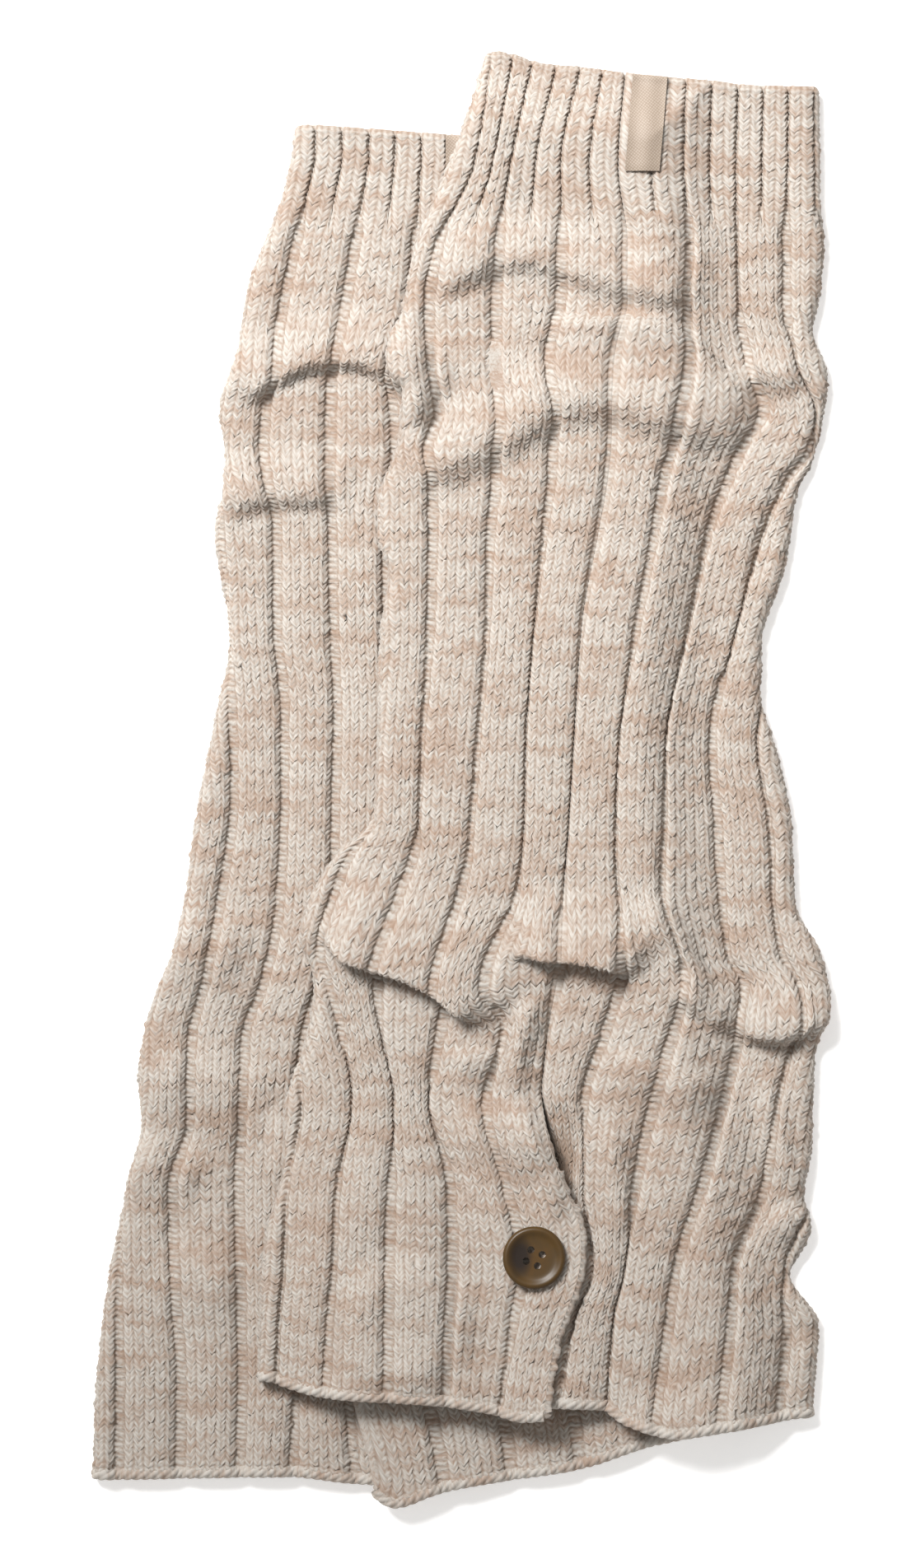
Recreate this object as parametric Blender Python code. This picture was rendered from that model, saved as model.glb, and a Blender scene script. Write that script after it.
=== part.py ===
"""A pair of ribbed knit leg warmers, laid flat with one over the other.

Each leg warmer is one flattened tube of thick knit: a cuff of narrow ribs, a leg of wide
ribs that slouches into folds, and a slit at the hem that laps over and buttons.
The sizes are in millimetres, seen from above: x to the right, y towards the cuffs.
"""
import math

import bmesh
import bpy
import numpy as np
from mathutils import Vector

MM = 0.001

# Knit
WALL = 2.4
RIB_RISE = 1.5
INNER_GAP = 0.8
SEAM_GAP = 0.3
HEM_CORD = 0.9
HEM_CORD_LENGTH = 3.6

# Side of a flattened tube
SIDE_RADIUS = 4.0
SIDE_ARC = 3.7
SIDE_TURN = 9.0

# Ribs that turn under at a side and have no column in a table
SPARE_RIB = 16.0
FIRST_RIB = -2
UNDERSIDE_POINTS = 11

# Cuff: narrow ribs above CUFF_LOW, wide ribs below LEG_HIGH
CUFF_LOW = 187.0
LEG_HIGH = 171.0

# How far the shape of the cuff's edge and of the hem reaches into the leg
CUFF_REACH = 70.0
HEM_REACH = 60.0

# Slit: the lap lies over the other side's edge
LAP_RISE = WALL + 0.5
LAP_RISE_LENGTH = 20.0

# Button and label
BUTTON_WIDTH = 20.0
BUTTON_THICK = 3.0
BUTTON_RIM = 2.1
BUTTON_DISH = 0.9
HOLE_WIDTH = 2.3
HOLE_RING = 2.75
LABEL_WIDTH = 11.0
LABEL_THICK = 0.8
LABEL_TURN = 2.6
LABEL_GAP = 0.5

# Folds: how far each leans against its table's lean, the length over which its ends fade, and
# the step along its crest
LEAN_SHARE = 0.3
FOLD_FADE = 14.0
CREST_STEP = 4.0

# Move that brings the middle of the pair to the origin
CENTRING = (0.7, -0.65)

# Rise of the top leg warmer where it lies on the under one
STACK_RISE = 2 * WALL + INNER_GAP + RIB_RISE + 0.5
STACK_RAMP = 24.0

TOP = {
    "name": "top",
    # y, x
    "left": [
        (232, 8.4), (211, 2.1), (185, -7.9), (169, -14.5), (148, -18.4), (141, -22.4),
        (130, -23.4), (123, -18.2), (109, -19.5), (98, -22.6), (89, -26.6), (76, -26.6),
        (65, -22.6), (47, -25.5), (9, -26.6), (-10, -27.4), (-16, -29.0), (-24, -38.5),
        (-41, -48.4), (-51, -50.8), (-65, -46.3), (-80, -47.9), (-95, -52.9), (-107, -55.8),
        (-125, -56.3), (-147, -61.8), (-164, -63.2), (-188, -63.9)],
    # y, x
    "right": [
        (232, 113.9), (185, 114.5), (172, 115.5), (154, 114.0), (143, 111.8), (128, 116.6),
        (111, 114.5), (101, 111.8), (90, 106.6), (75, 104.5), (64, 102.1), (43, 95.5),
        (27, 95.3), (6, 100.8), (-15, 105.0), (-41, 106.3), (-57, 114.5), (-70, 117.1),
        (-84, 113.9), (-90, 112.4), (-120, 111.3), (-133, 109.2), (-144, 111.4),
        (-160, 104.7), (-175, 113.4), (-202, 111.8)],
    # y, then x of the grooves between the wide ribs, numbered from 0
    "grooves": [
        (228, -6.0, 9.5, 22.6, 38.4, 52.6, 72.1, 88.9, 104.7, 120.5),
        (195, -12.0, 3.9, 15.5, 31.6, 50.0, 71.1, 87.9, 104.5, 121.0),
        (169, -24.0, -7.9, 11.8, 32.4, 53.2, 73.2, 88.2, 103.9, 122.4),
        (153, -28.0, -10.5, 11.3, 31.6, 53.2, 72.4, 88.7, 103.9, 121.6),
        (132, -27.0, -9.7, 11.3, 27.6, 48.7, 72.4, 92.6, 107.4, 123.0),
        (117, -26.0, -7.4, 11.3, 29.7, 48.2, 70.0, 97.4, 113.2, 126.0),
        (106, -27.0, -11.8, 10.5, 29.2, 47.9, 67.6, 90.0, 112.6, 126.0),
        (95, -27.0, -9.5, 11.1, 28.7, 46.8, 64.5, 85.5, 104.7, 119.0),
        (80, -27.0, -9.2, 9.5, 26.8, 44.2, 62.1, 79.7, 97.4, 112.0),
        (48, -26.0, -10.0, 8.4, 23.2, 38.4, 56.1, 72.6, 88.2, 102.6),
        (11, -27.5, -12.6, 5.3, 20.5, 35.8, 50.3, 65.3, 80.3, 94.5),
        (-15, -28.2, -13.7, 3.2, 20.0, 34.2, 49.2, 64.7, 82.1, 98.7),
        (-25, -35.5, -15.0, 2.4, 19.2, 33.4, 49.2, 64.2, 82.6, 99.5),
        (-36, -40.3, -19.2, 0.0, 17.9, 32.6, 50.0, 63.9, 83.4, 99.5),
        (-57, -45.3, -26.6, -4.5, 10.5, 32.1, 53.2, 69.7, 85.3, 102.9),
        (-67, -42.1, -27.1, -4.0, 11.8, 30.3, 50.5, 71.8, 90.8, 107.9),
        (-81, -38.2, -25.8, -6.6, 13.7, 27.6, 46.1, 67.9, 89.5, 106.6),
        (-104, -35.0, -21.6, -10.5, 7.9, 25.5, 38.9, 61.3, 84.2, 101.3),
        (-131, -39.5, -22.4, -3.4, 14.5, 33.2, 38.9, 55.3, 76.8, 97.4),
        (-157, -40.8, -23.2, -2.9, 20.0, 37.6, 42.0, 52.0, 68.4, 87.6),
        (-173, -42.1, -23.2, -3.9, 17.1, 32.6, 36.0, 48.5, 66.3, 86.3),
        (-203, -43.5, -23.7, -5.0, 12.0, 26.3, 30.5, 46.0, 62.0, 83.0)],
    # x, y of the cuff's edge
    "cuff_edge": [(8, 232), (16, 230.5), (26, 227.6), (37, 226.6), (58, 224), (74, 222.7),
                  (95, 220.3), (112, 220)],
    # x, y of the hem, left of the slit and right of it
    "hem_left": [(-64, -188), (-58, -192), (-42, -196), (-10, -198), (10, -201), (20, -203.5),
                 (27, -203)],
    "hem_right": [(14, -199), (45, -200), (53, -205), (69, -209), (77, -208), (100, -204.5),
                  (112, -202.4)],
    "slit_groove": 4,
    "lap": "left",
    "slit_top": -100.0,
    # y, x of the lap's free edge
    "free_edge": [(-100, 25.5), (-113, 27.1), (-123, 30.0), (-135, 34.7), (-144, 37.9),
                  (-153, 38.2), (-160, 37.1), (-170, 33.7), (-179, 30.3), (-189, 28.2),
                  (-203, 26.3)],
    # y, x of the edge that is tucked under the lap
    "tucked_edge": [(-100, 25.5), (-113, 27.9), (-123, 30.4), (-135, 28.0), (-144, 21.5),
                    (-157, 21.6), (-173, 18.7), (-189, 14.9), (-203, 13.8)],
    # crest x, y from left to right; rise; width above and below it; lean over the lower side
    "folds": [
        (((-14, 155), (-3, 161), (10, 166.5), (22, 168), (34, 164.5), (48, 160), (64, 157),
          (80, 154)), 3.8, 16, 10, 1.6),
        (((24, 142), (40, 143), (55, 143), (67, 140.5), (76, 133), (84, 127), (97, 122)),
         3.0, 8, 14, -1.0),
        (((-22, 99), (-6, 104), (8, 110), (18, 116), (28, 121), (40, 124), (52, 123),
          (64, 119), (78, 116), (96, 113)), 5.0, 17, 15, 2.5),
        (((-20, 146), (-17, 130), (-16, 117), (-20, 103)), 2.6, 9, 8, 0.0),
        (((88, 133), (100, 130), (112, 129)), 3.4, 10, 10, 1.0),
        (((-46, -44), (-36, -50), (-24, -54), (-12, -58), (-2, -64), (6, -72), (12, -80)),
         8.6, 25, 9, 8.5),
        (((12, -53), (22, -52.5), (34, -53), (44, -54.5), (53, -58), (60, -63)),
         8.8, 20, 7, 6.8),
        (((60, -44), (69, -57), (79, -68), (89, -76), (99, -79), (110, -74), (122, -65)),
         6.8, 20, 11, 4.0),
        (((44, -90), (55, -92), (64, -96), (75, -99), (87, -99)), 3.2, 8, 14, -1.0),
        (((-6, -92), (4, -91), (15, -93)), 3.0, 8, 13, -1.0),
        (((-6, -106), (8, -110), (22, -118), (30, -127)), 2.8, 14, 18, 0.0),
        (((17, -100), (22, -114), (29, -130), (32, -144)), 2.6, 8, 7, 0.0),
        (((48, -106), (48, -120), (51, -136), (53, -150)), 2.6, 8, 8, 0.0),
        (((97, -93), (100, -108), (102, -122), (106, -136)), 2.8, 7, 7, 0.0),
        (((96, -146), (104, -143), (110, -144)), 2.4, 8, 9, 0.0),
        (((-52, -199), (-20, -201), (20, -206), (46, -206)), 3.4, 26, 12, 0.0),
        (((48, -206), (62, -210), (80, -210), (96, -208)), 5.0, 20, 12, 0.0)],
    # sections along the leg: from y, to y, step
    "sections": [(216, 178, 9.5), (178, 92, 8.0), (92, -26, 14.0), (-26, -96, 7.0),
                 (-96, -196, 10.5)],
    "spare_ribs": 2,
    "points_per_rib": [4] * 12,
}

UNDER = {
    "name": "under",
    # y, x
    "left": [
        (208, -52.6), (195, -54.7), (178, -59.7), (166, -64.5), (159, -67.1), (140, -70.5),
        (127, -75.0), (119, -77.1), (103, -75.0), (80, -78.4), (43, -74.2), (17, -78.4),
        (-12, -84.2), (-36, -87.4), (-57, -92.1), (-68, -96.8), (-81, -101.3), (-97, -103.2),
        (-112, -102.1), (-131, -106.6), (-162, -112.4), (-199, -116.3), (-222, -117.1)],
    # y, x
    "right": [(200, 57.0), (140, 61.0), (80, 58.0), (10, 53.0), (-60, 60.0), (-140, 73.0),
              (-200, 83.5), (-207, 84.2)],
    # y, then x of the grooves between the wide ribs, numbered from 0
    "grooves": [
        (198, -80.0, -63.5, -46.8, -29.5, -12.9, 3.9),
        (153, -92.0, -75.0, -56.6, -36.8, -15.8, 1.0),
        (127, -96.0, -79.0, -61.5, -41.6, -22.0, -5.0),
        (106, -98.0, -81.0, -63.5, -42.0, -21.0, -4.0),
        (80, -94.5, -77.5, -59.0, -41.3, -24.0, -7.0),
        (48, -92.0, -75.0, -59.0, -40.8, -24.0, -7.0),
        (22, -90.0, -73.4, -56.6, -39.7, -23.0, -7.0),
        (-4, -89.0, -72.6, -56.6, -40.3, -23.5, -7.0),
        (-42, -94.0, -77.6, -58.2, -41.0, -24.0, -8.0),
        (-66, -99.0, -82.1, -63.2, -45.5, -28.0, -12.0),
        (-83, -103.0, -86.3, -69.2, -50.0, -31.0, -14.0),
        (-110, -104.5, -86.8, -70.3, -52.9, -35.0, -17.0),
        (-131, -109.0, -92.6, -71.0, -53.5, -36.0, -20.0),
        (-165, -109.5, -91.6, -70.3, -54.0, -38.0, -32.0),
        (-193, -109.5, -89.7, -70.0, -53.0, -36.5, -33.9),
        (-226, -110.0, -90.0, -71.0, -54.0, -33.5, -27.4)],
    # x, y of the cuff's edge
    "cuff_edge": [(-53, 208), (-30, 206.5), (-5, 204.7), (57, 200)],
    # x, y of the hem, left of the slit and right of it
    "hem_left": [(-117, -223), (-55, -222), (-32, -224.4), (-14, -225)],
    "hem_right": [(-28, -226.5), (-26, -229.5), (-21, -231.8), (-17, -230.8), (-10, -228),
                  (0, -225.5), (16, -223), (37, -219.7), (58, -213), (78, -208.4), (84, -207)],
    "slit_groove": 5,
    "lap": "right",
    "slit_top": -125.0,
    # y, x of the lap's free edge
    "free_edge": [(-125, -19.0), (-138, -21.5), (-150, -27.0), (-165, -32.0), (-180, -34.0),
                  (-197, -33.7), (-207, -31.6), (-218, -28.9), (-226, -27.4)],
    # y, x of the edge that is tucked under the lap
    "tucked_edge": [(-125, -19.0), (-138, -22.4), (-148, -26.0), (-160, -22.0), (-168, -17.8),
                    (-180, -19.6), (-197, -19.4), (-207, -17.3), (-226, -13.1)],
    # crest x, y from left to right; rise; width above and below it; lean over the lower side
    "folds": [
        (((-76, 121), (-64, 129), (-51, 135.5), (-38, 137), (-27, 135), (-18, 128), (-14, 119)),
         4.8, 15, 9, 3.0),
        (((-82, 84), (-71, 91), (-60, 93), (-47, 93), (-34, 90)), 3.8, 16, 10, 2.0),
        (((-98, -48), (-84, -54), (-66, -58)), 3.6, 16, 22, 0.0),
        (((-104, -92), (-86, -97), (-70, -101), (-58, -104)), 3.4, 15, 22, 0.0),
        (((-108, -120), (-94, -125), (-80, -131)), 3.2, 13, 18, 0.0),
        (((-100, -156), (-84, -160), (-66, -164)), 2.4, 15, 20, 0.0)],
    "sections": [(196, 150, 10.0), (150, 74, 8.0), (74, -46, 15.0), (-46, -140, 9.0),
                 (-140, -216, 11.0)],
    "spare_ribs": 5.5,
    "points_per_rib": [4] * 7 + [2] * 6,
}

# x, y, reach across and along, rise of the bumps over the under one's fold, lap, button and label
BUMPS = [
    (-18, 127, 17, 17, 4.2),
    (-24, -180, 36, 84, 3.2),
    (-19, -175.5, 26, 26, 3.8),
    (1, 192, 20, 34, 1.5),
]

TOP_BUTTON = (23.2, -153.2)
UNDER_BUTTON = (-18.9, -175.5)

# x of the label's left edge at the cuff's edge, y of its lower end, sideways lean
TOP_LABEL = (54.8, 193.2, -2.6)
UNDER_LABEL = (-5.0, 177.5, 0.0)


def ease(value):
    """0 below 0, 1 above 1 and smooth between."""
    t = np.clip(value, 0.0, 1.0)
    return t * t * (3 - 2 * t)


def curve_through(points):
    """A smooth curve through the points that never swings past them."""
    at, value = np.array(sorted(map(tuple, points)), float).T
    step = np.diff(at)
    rise = np.diff(value) / step
    slope = np.zeros_like(value)
    slope[0], slope[-1] = rise[0], rise[-1]
    for i in range(1, len(value) - 1):
        if rise[i - 1] * rise[i] > 0:
            slope[i] = 2 * rise[i - 1] * rise[i] / (rise[i - 1] + rise[i])

    def read(x):
        x = np.asarray(x, float)
        i = np.clip(np.searchsorted(at, x) - 1, 0, len(step) - 1)
        t = np.clip((x - at[i]) / step[i], 0.0, 1.0)
        start = value[i] * (1 + 2 * t) * (1 - t) ** 2 + slope[i] * step[i] * t * (1 - t) ** 2
        end = value[i + 1] * t * t * (3 - 2 * t) + slope[i + 1] * step[i] * t * t * (t - 1)
        return start + end

    return read


class Legwarmer:
    """The shape of one leg warmer, worked out from its tables."""

    def __init__(self, table):
        self.table = table
        self.left = curve_through(table["left"])
        self.right = curve_through(table["right"])
        self.cuff_edge = curve_through(table["cuff_edge"])
        self.hem = {"left": curve_through(table["hem_left"]),
                    "right": curve_through(table["hem_right"])}
        self.free_edge = curve_through(table["free_edge"])
        self.tucked_edge = curve_through(table["tucked_edge"])
        rows = np.array(table["grooves"], float)
        count = rows.shape[1] - 1
        self.grooves = [curve_through(rows[:, [0, k + 1]]) for k in range(count)]
        self.top = float(np.mean([y for _, y in table["cuff_edge"]]))
        self.end = float(np.mean([y for _, y in table["hem_left"] + table["hem_right"]]))

    def groove(self, number, y, side):
        """x of a groove; past the table's grooves the ribs go on at one width."""
        slit = self.table["slit_groove"]
        last = len(self.grooves) - 1
        if number == slit:
            edge = self.free_edge if side == self.table["lap"] else self.tucked_edge
            return np.where(y < self.table["slit_top"], edge(y), self.grooves[slit](y))
        if number < 0:
            return self.grooves[0](y) + SPARE_RIB * number
        if number > last:
            start = self.grooves[last](y)
            if last == slit:
                start = np.where(y < self.table["slit_top"], self.free_edge(y), start)
            reach = (self.right(y) + SIDE_TURN - start) / self.table["spare_ribs"]
            return start + np.maximum(SPARE_RIB, reach) * (number - last)
        return self.grooves[number](y)

    def unrolled_x(self, ribs, y, side):
        """x across the unrolled upper wall, at a place counted in ribs."""
        number = int(math.floor(ribs))
        share = ribs - number
        low = self.groove(number, y, side)
        if share == 0:
            return low
        return low * (1 - share) + self.groove(number + 1, y, side) * share

    def bent_y(self, station, x, side):
        """y of a section, which follows the cuff's edge at one end and the hem at the other."""
        cuff = ease(1 - (self.top - station) / CUFF_REACH)
        hem = ease(1 - (station - self.end) / HEM_REACH)
        return (station + cuff * (self.cuff_edge(x) - self.top)
                + hem * (self.hem[side](x) - self.end))

    def folds(self, x, y):
        """Rise of the slouched folds, and how far they lean over in x and in y."""
        x, y = np.broadcast_arrays(x, y)
        rise, lean_x, lean_y = np.zeros(x.shape), np.zeros(x.shape), np.zeros(x.shape)
        for crest, high, above, below, over in self.table["folds"]:
            along, across, way, length = beside(crest, x, y)
            width = np.where(across > 0, above, below)
            ridge = 0.5 + 0.5 * np.cos(np.pi * np.clip(across / width, -1, 1))
            fade = min(FOLD_FADE, 0.35 * length)
            ridge = ridge * ease(along / fade) * ease((length - along) / fade)
            rise += high * ridge
            lean_x += LEAN_SHARE * over * ridge * way[1]
            lean_y -= LEAN_SHARE * over * ridge * way[0]
        return rise, lean_x, lean_y

    def lap_rise(self, ribs, y, side):
        """How far the lap stands above the edge that it covers."""
        if side != self.table["lap"]:
            return np.zeros_like(y)
        from_slit = abs(self.table["slit_groove"] - ribs)
        if from_slit > 1.5:
            return np.zeros_like(y)
        near = float(ease((1.5 - from_slit) / 0.5))
        return LAP_RISE * near * ease((self.table["slit_top"] - y) / LAP_RISE_LENGTH)

    def rib_rise(self, ribs, y, side):
        """Height of the ribs above their grooves."""
        cuff = ease((y - LEG_HIGH) / (CUFF_LOW - LEG_HIGH))
        share = ribs - math.floor(ribs)
        from_groove = min(share, 1 - share)
        wide = math.sin(math.pi / 2 * min(1.0, from_groove / 0.2))
        narrow = abs(math.sin(2 * math.pi * share))
        rise = RIB_RISE * ((1 - cuff) * wide + cuff * narrow)
        under_lap = side != self.table["lap"] and abs(self.table["slit_groove"] - ribs) <= 1.0
        if under_lap:
            rise = rise * (1 - ease((self.table["slit_top"] - y) / LAP_RISE_LENGTH))
        return rise


def beside(crest, x, y):
    """For each place: how far along a crest and how far to its left it is, and the crest's way."""
    corners = np.array(crest, float)
    at = np.concatenate([[0], np.cumsum(np.hypot(*np.diff(corners, axis=0).T))])
    fine = np.linspace(0, at[-1], max(int(at[-1] / CREST_STEP), 2) + 1)
    line = np.stack([curve_through(list(zip(at, corners[:, k])))(fine) for k in (0, 1)], axis=1)
    step = np.diff(line, axis=0)
    long = np.hypot(*step.T)
    ways = step / long[:, None]
    turned = np.concatenate([ways[:1], (ways[1:] + ways[:-1]) / 2, ways[-1:]])
    start = np.concatenate([[0], np.cumsum(long)])
    best = np.full(x.shape, np.inf)
    along, across = np.zeros(x.shape), np.zeros(x.shape)
    way_x, way_y = np.ones(x.shape), np.zeros(x.shape)
    for k in range(len(step)):
        off_x, off_y = x - line[k, 0], y - line[k, 1]
        share = np.clip((off_x * ways[k, 0] + off_y * ways[k, 1]) / long[k], 0, 1)
        far = np.hypot(off_x - share * step[k, 0], off_y - share * step[k, 1])
        nearer = far < best
        side = np.sign(off_y * ways[k, 0] - off_x * ways[k, 1])
        best = np.where(nearer, far, best)
        along = np.where(nearer, start[k] + share * long[k], along)
        across = np.where(nearer, far * side, across)
        way_x = np.where(nearer, turned[k, 0] * (1 - share) + turned[k + 1, 0] * share, way_x)
        way_y = np.where(nearer, turned[k, 1] * (1 - share) + turned[k + 1, 1] * share, way_y)
    return along, across, (way_x, way_y), start[-1]


def stack_rise(x, y, lower):
    """Height of the top leg warmer's underside: on the under one, or down on the surface."""
    outside = np.maximum(x - lower.right(y), y - lower.cuff_edge(x))
    rise = STACK_RISE * (1 - ease((outside - 2.0) / STACK_RAMP))
    for at_x, at_y, wide, long, high in BUMPS:
        distance = np.hypot((x - at_x) / wide, (y - at_y) / long)
        rise = rise + high * ease((1 - distance) / 0.5)
    return rise


def floor_rise(x, y):
    """The under leg warmer lies on the surface."""
    return np.zeros(np.broadcast(x, y).shape)


def wall_points(shape, base, ribs, station, side, extra):
    """Outer and inner points of the knit at one place across, for every section."""
    y = station.copy()
    for _ in range(3):
        unrolled = shape.unrolled_x(ribs, y, side)
        y = shape.bent_y(station, np.clip(unrolled, shape.left(y), shape.right(y)), side)
    left, right = shape.left(y) + SIDE_RADIUS, shape.right(y) - SIDE_RADIUS
    flat_x = np.clip(unrolled, left, right)
    past = unrolled - flat_x
    turn = np.clip(np.abs(past) / SIDE_ARC, 0, math.pi)
    beyond = np.maximum(np.abs(past) - SIDE_ARC * math.pi, 0)
    way = np.sign(past)

    rise, lean_x, lean_y = shape.folds(flat_x, y)
    low = base(flat_x, y)
    high = low + 2 * WALL + INNER_GAP + rise + shape.lap_rise(ribs, y, side)
    middle, half = (low + high) / 2, (high - low) / 2
    fade = 1 - ease(turn / (0.8 * math.pi))
    relief = (shape.rib_rise(ribs, y, side) + extra) * fade

    def place(offset):
        return np.stack([
            flat_x + lean_x * fade + way * ((SIDE_RADIUS + offset) * np.sin(turn) - beyond),
            y + lean_y * fade,
            middle + (half + offset) * np.cos(turn)], axis=1)

    return place(relief), place(np.full_like(y, -WALL))


def underside_points(base, share, from_outer, to_outer):
    """Points of the plain underside, between where the two side folds end."""
    x = from_outer[:, 0] * (1 - share) + to_outer[:, 0] * share
    y = from_outer[:, 1] * (1 - share) + to_outer[:, 1] * share
    low = base(x, y)
    outer = np.stack([x, y, low], axis=1)
    inner = np.stack([x, y, low + WALL], axis=1)
    return outer, inner


def section_stations(shape):
    """Stations of the sections: the cuff's edge, the leg, the slit's top and the hem cord."""
    stations = [shape.top, shape.top - 2.0]
    for start, stop, step in shape.table["sections"]:
        stations += list(np.arange(start, stop, -step))
    slit_top = shape.table["slit_top"]
    stations = [s for s in stations if abs(s - slit_top) > 4 and s > shape.end + 7]
    stations += [slit_top, shape.end + HEM_CORD_LENGTH, shape.end + HEM_CORD_LENGTH / 2,
                 shape.end]
    return np.array(sorted(stations, reverse=True))


def rib_places(table):
    """Places across the upper wall, counted in ribs, from the left side to the right one."""
    places = []
    for number, count in enumerate(table["points_per_rib"], start=FIRST_RIB):
        shares = (0.0, 0.2, 0.5, 0.8) if count == 4 else (0.0, 0.5)
        places += [number + share for share in shares]
    return places


def build_tube(shape, base):
    """One leg warmer as a closed wall: a ring for each section, open at the slit."""
    table = shape.table
    station = section_stations(shape)
    slit = table["slit_groove"]
    places = rib_places(table)
    rightward = [p for p in places if p >= slit]
    leftward = [p for p in places if p <= slit]

    cord = np.zeros_like(station)
    cord[-2] = HEM_CORD
    right_walls = [wall_points(shape, base, p, station, "right", cord) for p in rightward]
    left_walls = [wall_points(shape, base, p, station, "left", cord) for p in leftward]
    count = UNDERSIDE_POINTS + (len(rightward) + len(leftward)) % 2
    between = [underside_points(base, (k + 1) / (count + 1), right_walls[-1][0],
                                left_walls[0][0]) for k in range(count)]
    walls = right_walls + between + left_walls

    outer = np.stack([wall[0] for wall in walls], axis=1)
    inner = np.stack([wall[1] for wall in walls[::2]], axis=1)
    first_open = int(np.argmin(np.abs(station - table["slit_top"])))
    return knit_mesh(outer, inner, first_open)


def knit_mesh(outer, inner, first_open):
    """A closed mesh from outer and inner rings, parted along the slit."""
    mesh = bmesh.new()

    def ring_verts(ring, row):
        points = ring[row]
        closed = row <= first_open
        verts = [mesh.verts.new(p * MM) for p in (points[:-1] if closed else points)]
        return verts + [verts[0]] if closed else verts

    rows = len(outer)
    outside = [ring_verts(outer, row) for row in range(rows)]
    inside = [ring_verts(inner, row) for row in range(rows)]

    for rings in (outside, inside):
        for above, below in zip(rings, rings[1:]):
            for k in range(len(above) - 1):
                mesh.faces.new((above[k], above[k + 1], below[k + 1], below[k]))
    for row in (0, rows - 1):
        out, into = outside[row], inside[row]
        for k in range(len(into) - 1):
            mesh.faces.new((out[2 * k], out[2 * k + 1], into[k]))
            mesh.faces.new((out[2 * k + 1], into[k + 1], into[k]))
            mesh.faces.new((out[2 * k + 1], out[2 * k + 2], into[k + 1]))
    for row in range(first_open, rows - 1):
        for end in (0, -1):
            mesh.faces.new((outside[row][end], inside[row][end], inside[row + 1][end],
                            outside[row + 1][end]))
    bmesh.ops.recalc_face_normals(mesh, faces=mesh.faces[:])
    return mesh


def outer_height(shape, base, x, y, side):
    """Top of the ribs at a place on the upper wall."""
    x, y = np.array([float(x)]), np.array([float(y)])
    rise = shape.folds(x, y)[0]
    slit = shape.table["slit_groove"]
    lap = shape.lap_rise(slit, y, side) if side else 0.0
    return float((base(x, y) + 2 * WALL + INNER_GAP + rise + RIB_RISE + lap)[0])


def build_button(shape, base, place):
    """A turned button with a raised rim, a dished middle and four holes."""
    x, y = place
    reach = BUTTON_WIDTH / 2
    around = [(x + reach * dx, y + reach * dy) for dx in (-0.8, 0, 0.8) for dy in (-0.8, 0, 0.8)]
    under = max(outer_height(shape, base, *p, shape.table["lap"]) for p in around)
    under += SEAM_GAP
    profile = [(0.0, 0.0), (reach - 2.4, 0.0), (reach - 0.5, 0.9), (reach, 1.7),
               (reach - 0.45, BUTTON_THICK - 0.35), (reach - 1.2, BUTTON_THICK),
               (reach - BUTTON_RIM, BUTTON_THICK - 0.3),
               (reach - BUTTON_RIM - 1.2, BUTTON_THICK - BUTTON_DISH),
               (0.0, BUTTON_THICK - BUTTON_DISH)]
    mesh = bmesh.new()
    verts = [mesh.verts.new((r * MM, 0, z * MM)) for r, z in profile]
    edges = [mesh.edges.new(pair) for pair in zip(verts, verts[1:])]
    bmesh.ops.spin(mesh, geom=verts + edges, cent=(0, 0, 0), axis=(0, 0, 1),
                   angle=math.tau, steps=32, use_merge=True)
    bmesh.ops.remove_doubles(mesh, verts=mesh.verts[:], dist=0.01 * MM)
    bmesh.ops.recalc_face_normals(mesh, faces=mesh.faces[:])
    button = place_mesh(shape.table["name"] + "_button", mesh)
    button.location = (x * MM, y * MM, under * MM)
    for k in range(4):
        angle = math.radians(22 + 90 * k)
        hole = cutter(shape.table["name"] + f"_button_hole_{k + 1}", HOLE_WIDTH / 2,
                      3 * BUTTON_THICK)
        hole.location = ((x + HOLE_RING * math.cos(angle)) * MM,
                         (y + HOLE_RING * math.sin(angle)) * MM, under * MM)
        cut = button.modifiers.new("hole", "BOOLEAN")
        cut.operation = "DIFFERENCE"
        cut.object = hole
    return button


def cutter(name, radius, height):
    """A hidden cylinder that cuts a hole."""
    mesh = bmesh.new()
    bmesh.ops.create_cone(mesh, cap_ends=True, segments=12, radius1=radius * MM,
                          radius2=radius * MM, depth=height * MM)
    tool = place_mesh(name, mesh)
    tool.hide_render = True
    tool.display_type = "WIRE"
    return tool


def label_rows(shape, low_y, middle_x):
    """Stations of the tube's own sections that the label lies on, and its lower end."""
    low = low_y
    for _ in range(3):
        low += low_y - float(shape.bent_y(np.array(low), middle_x, "left"))
    return [low] + [s for s in section_stations(shape)[::-1] if s > low + 2.0]


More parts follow.
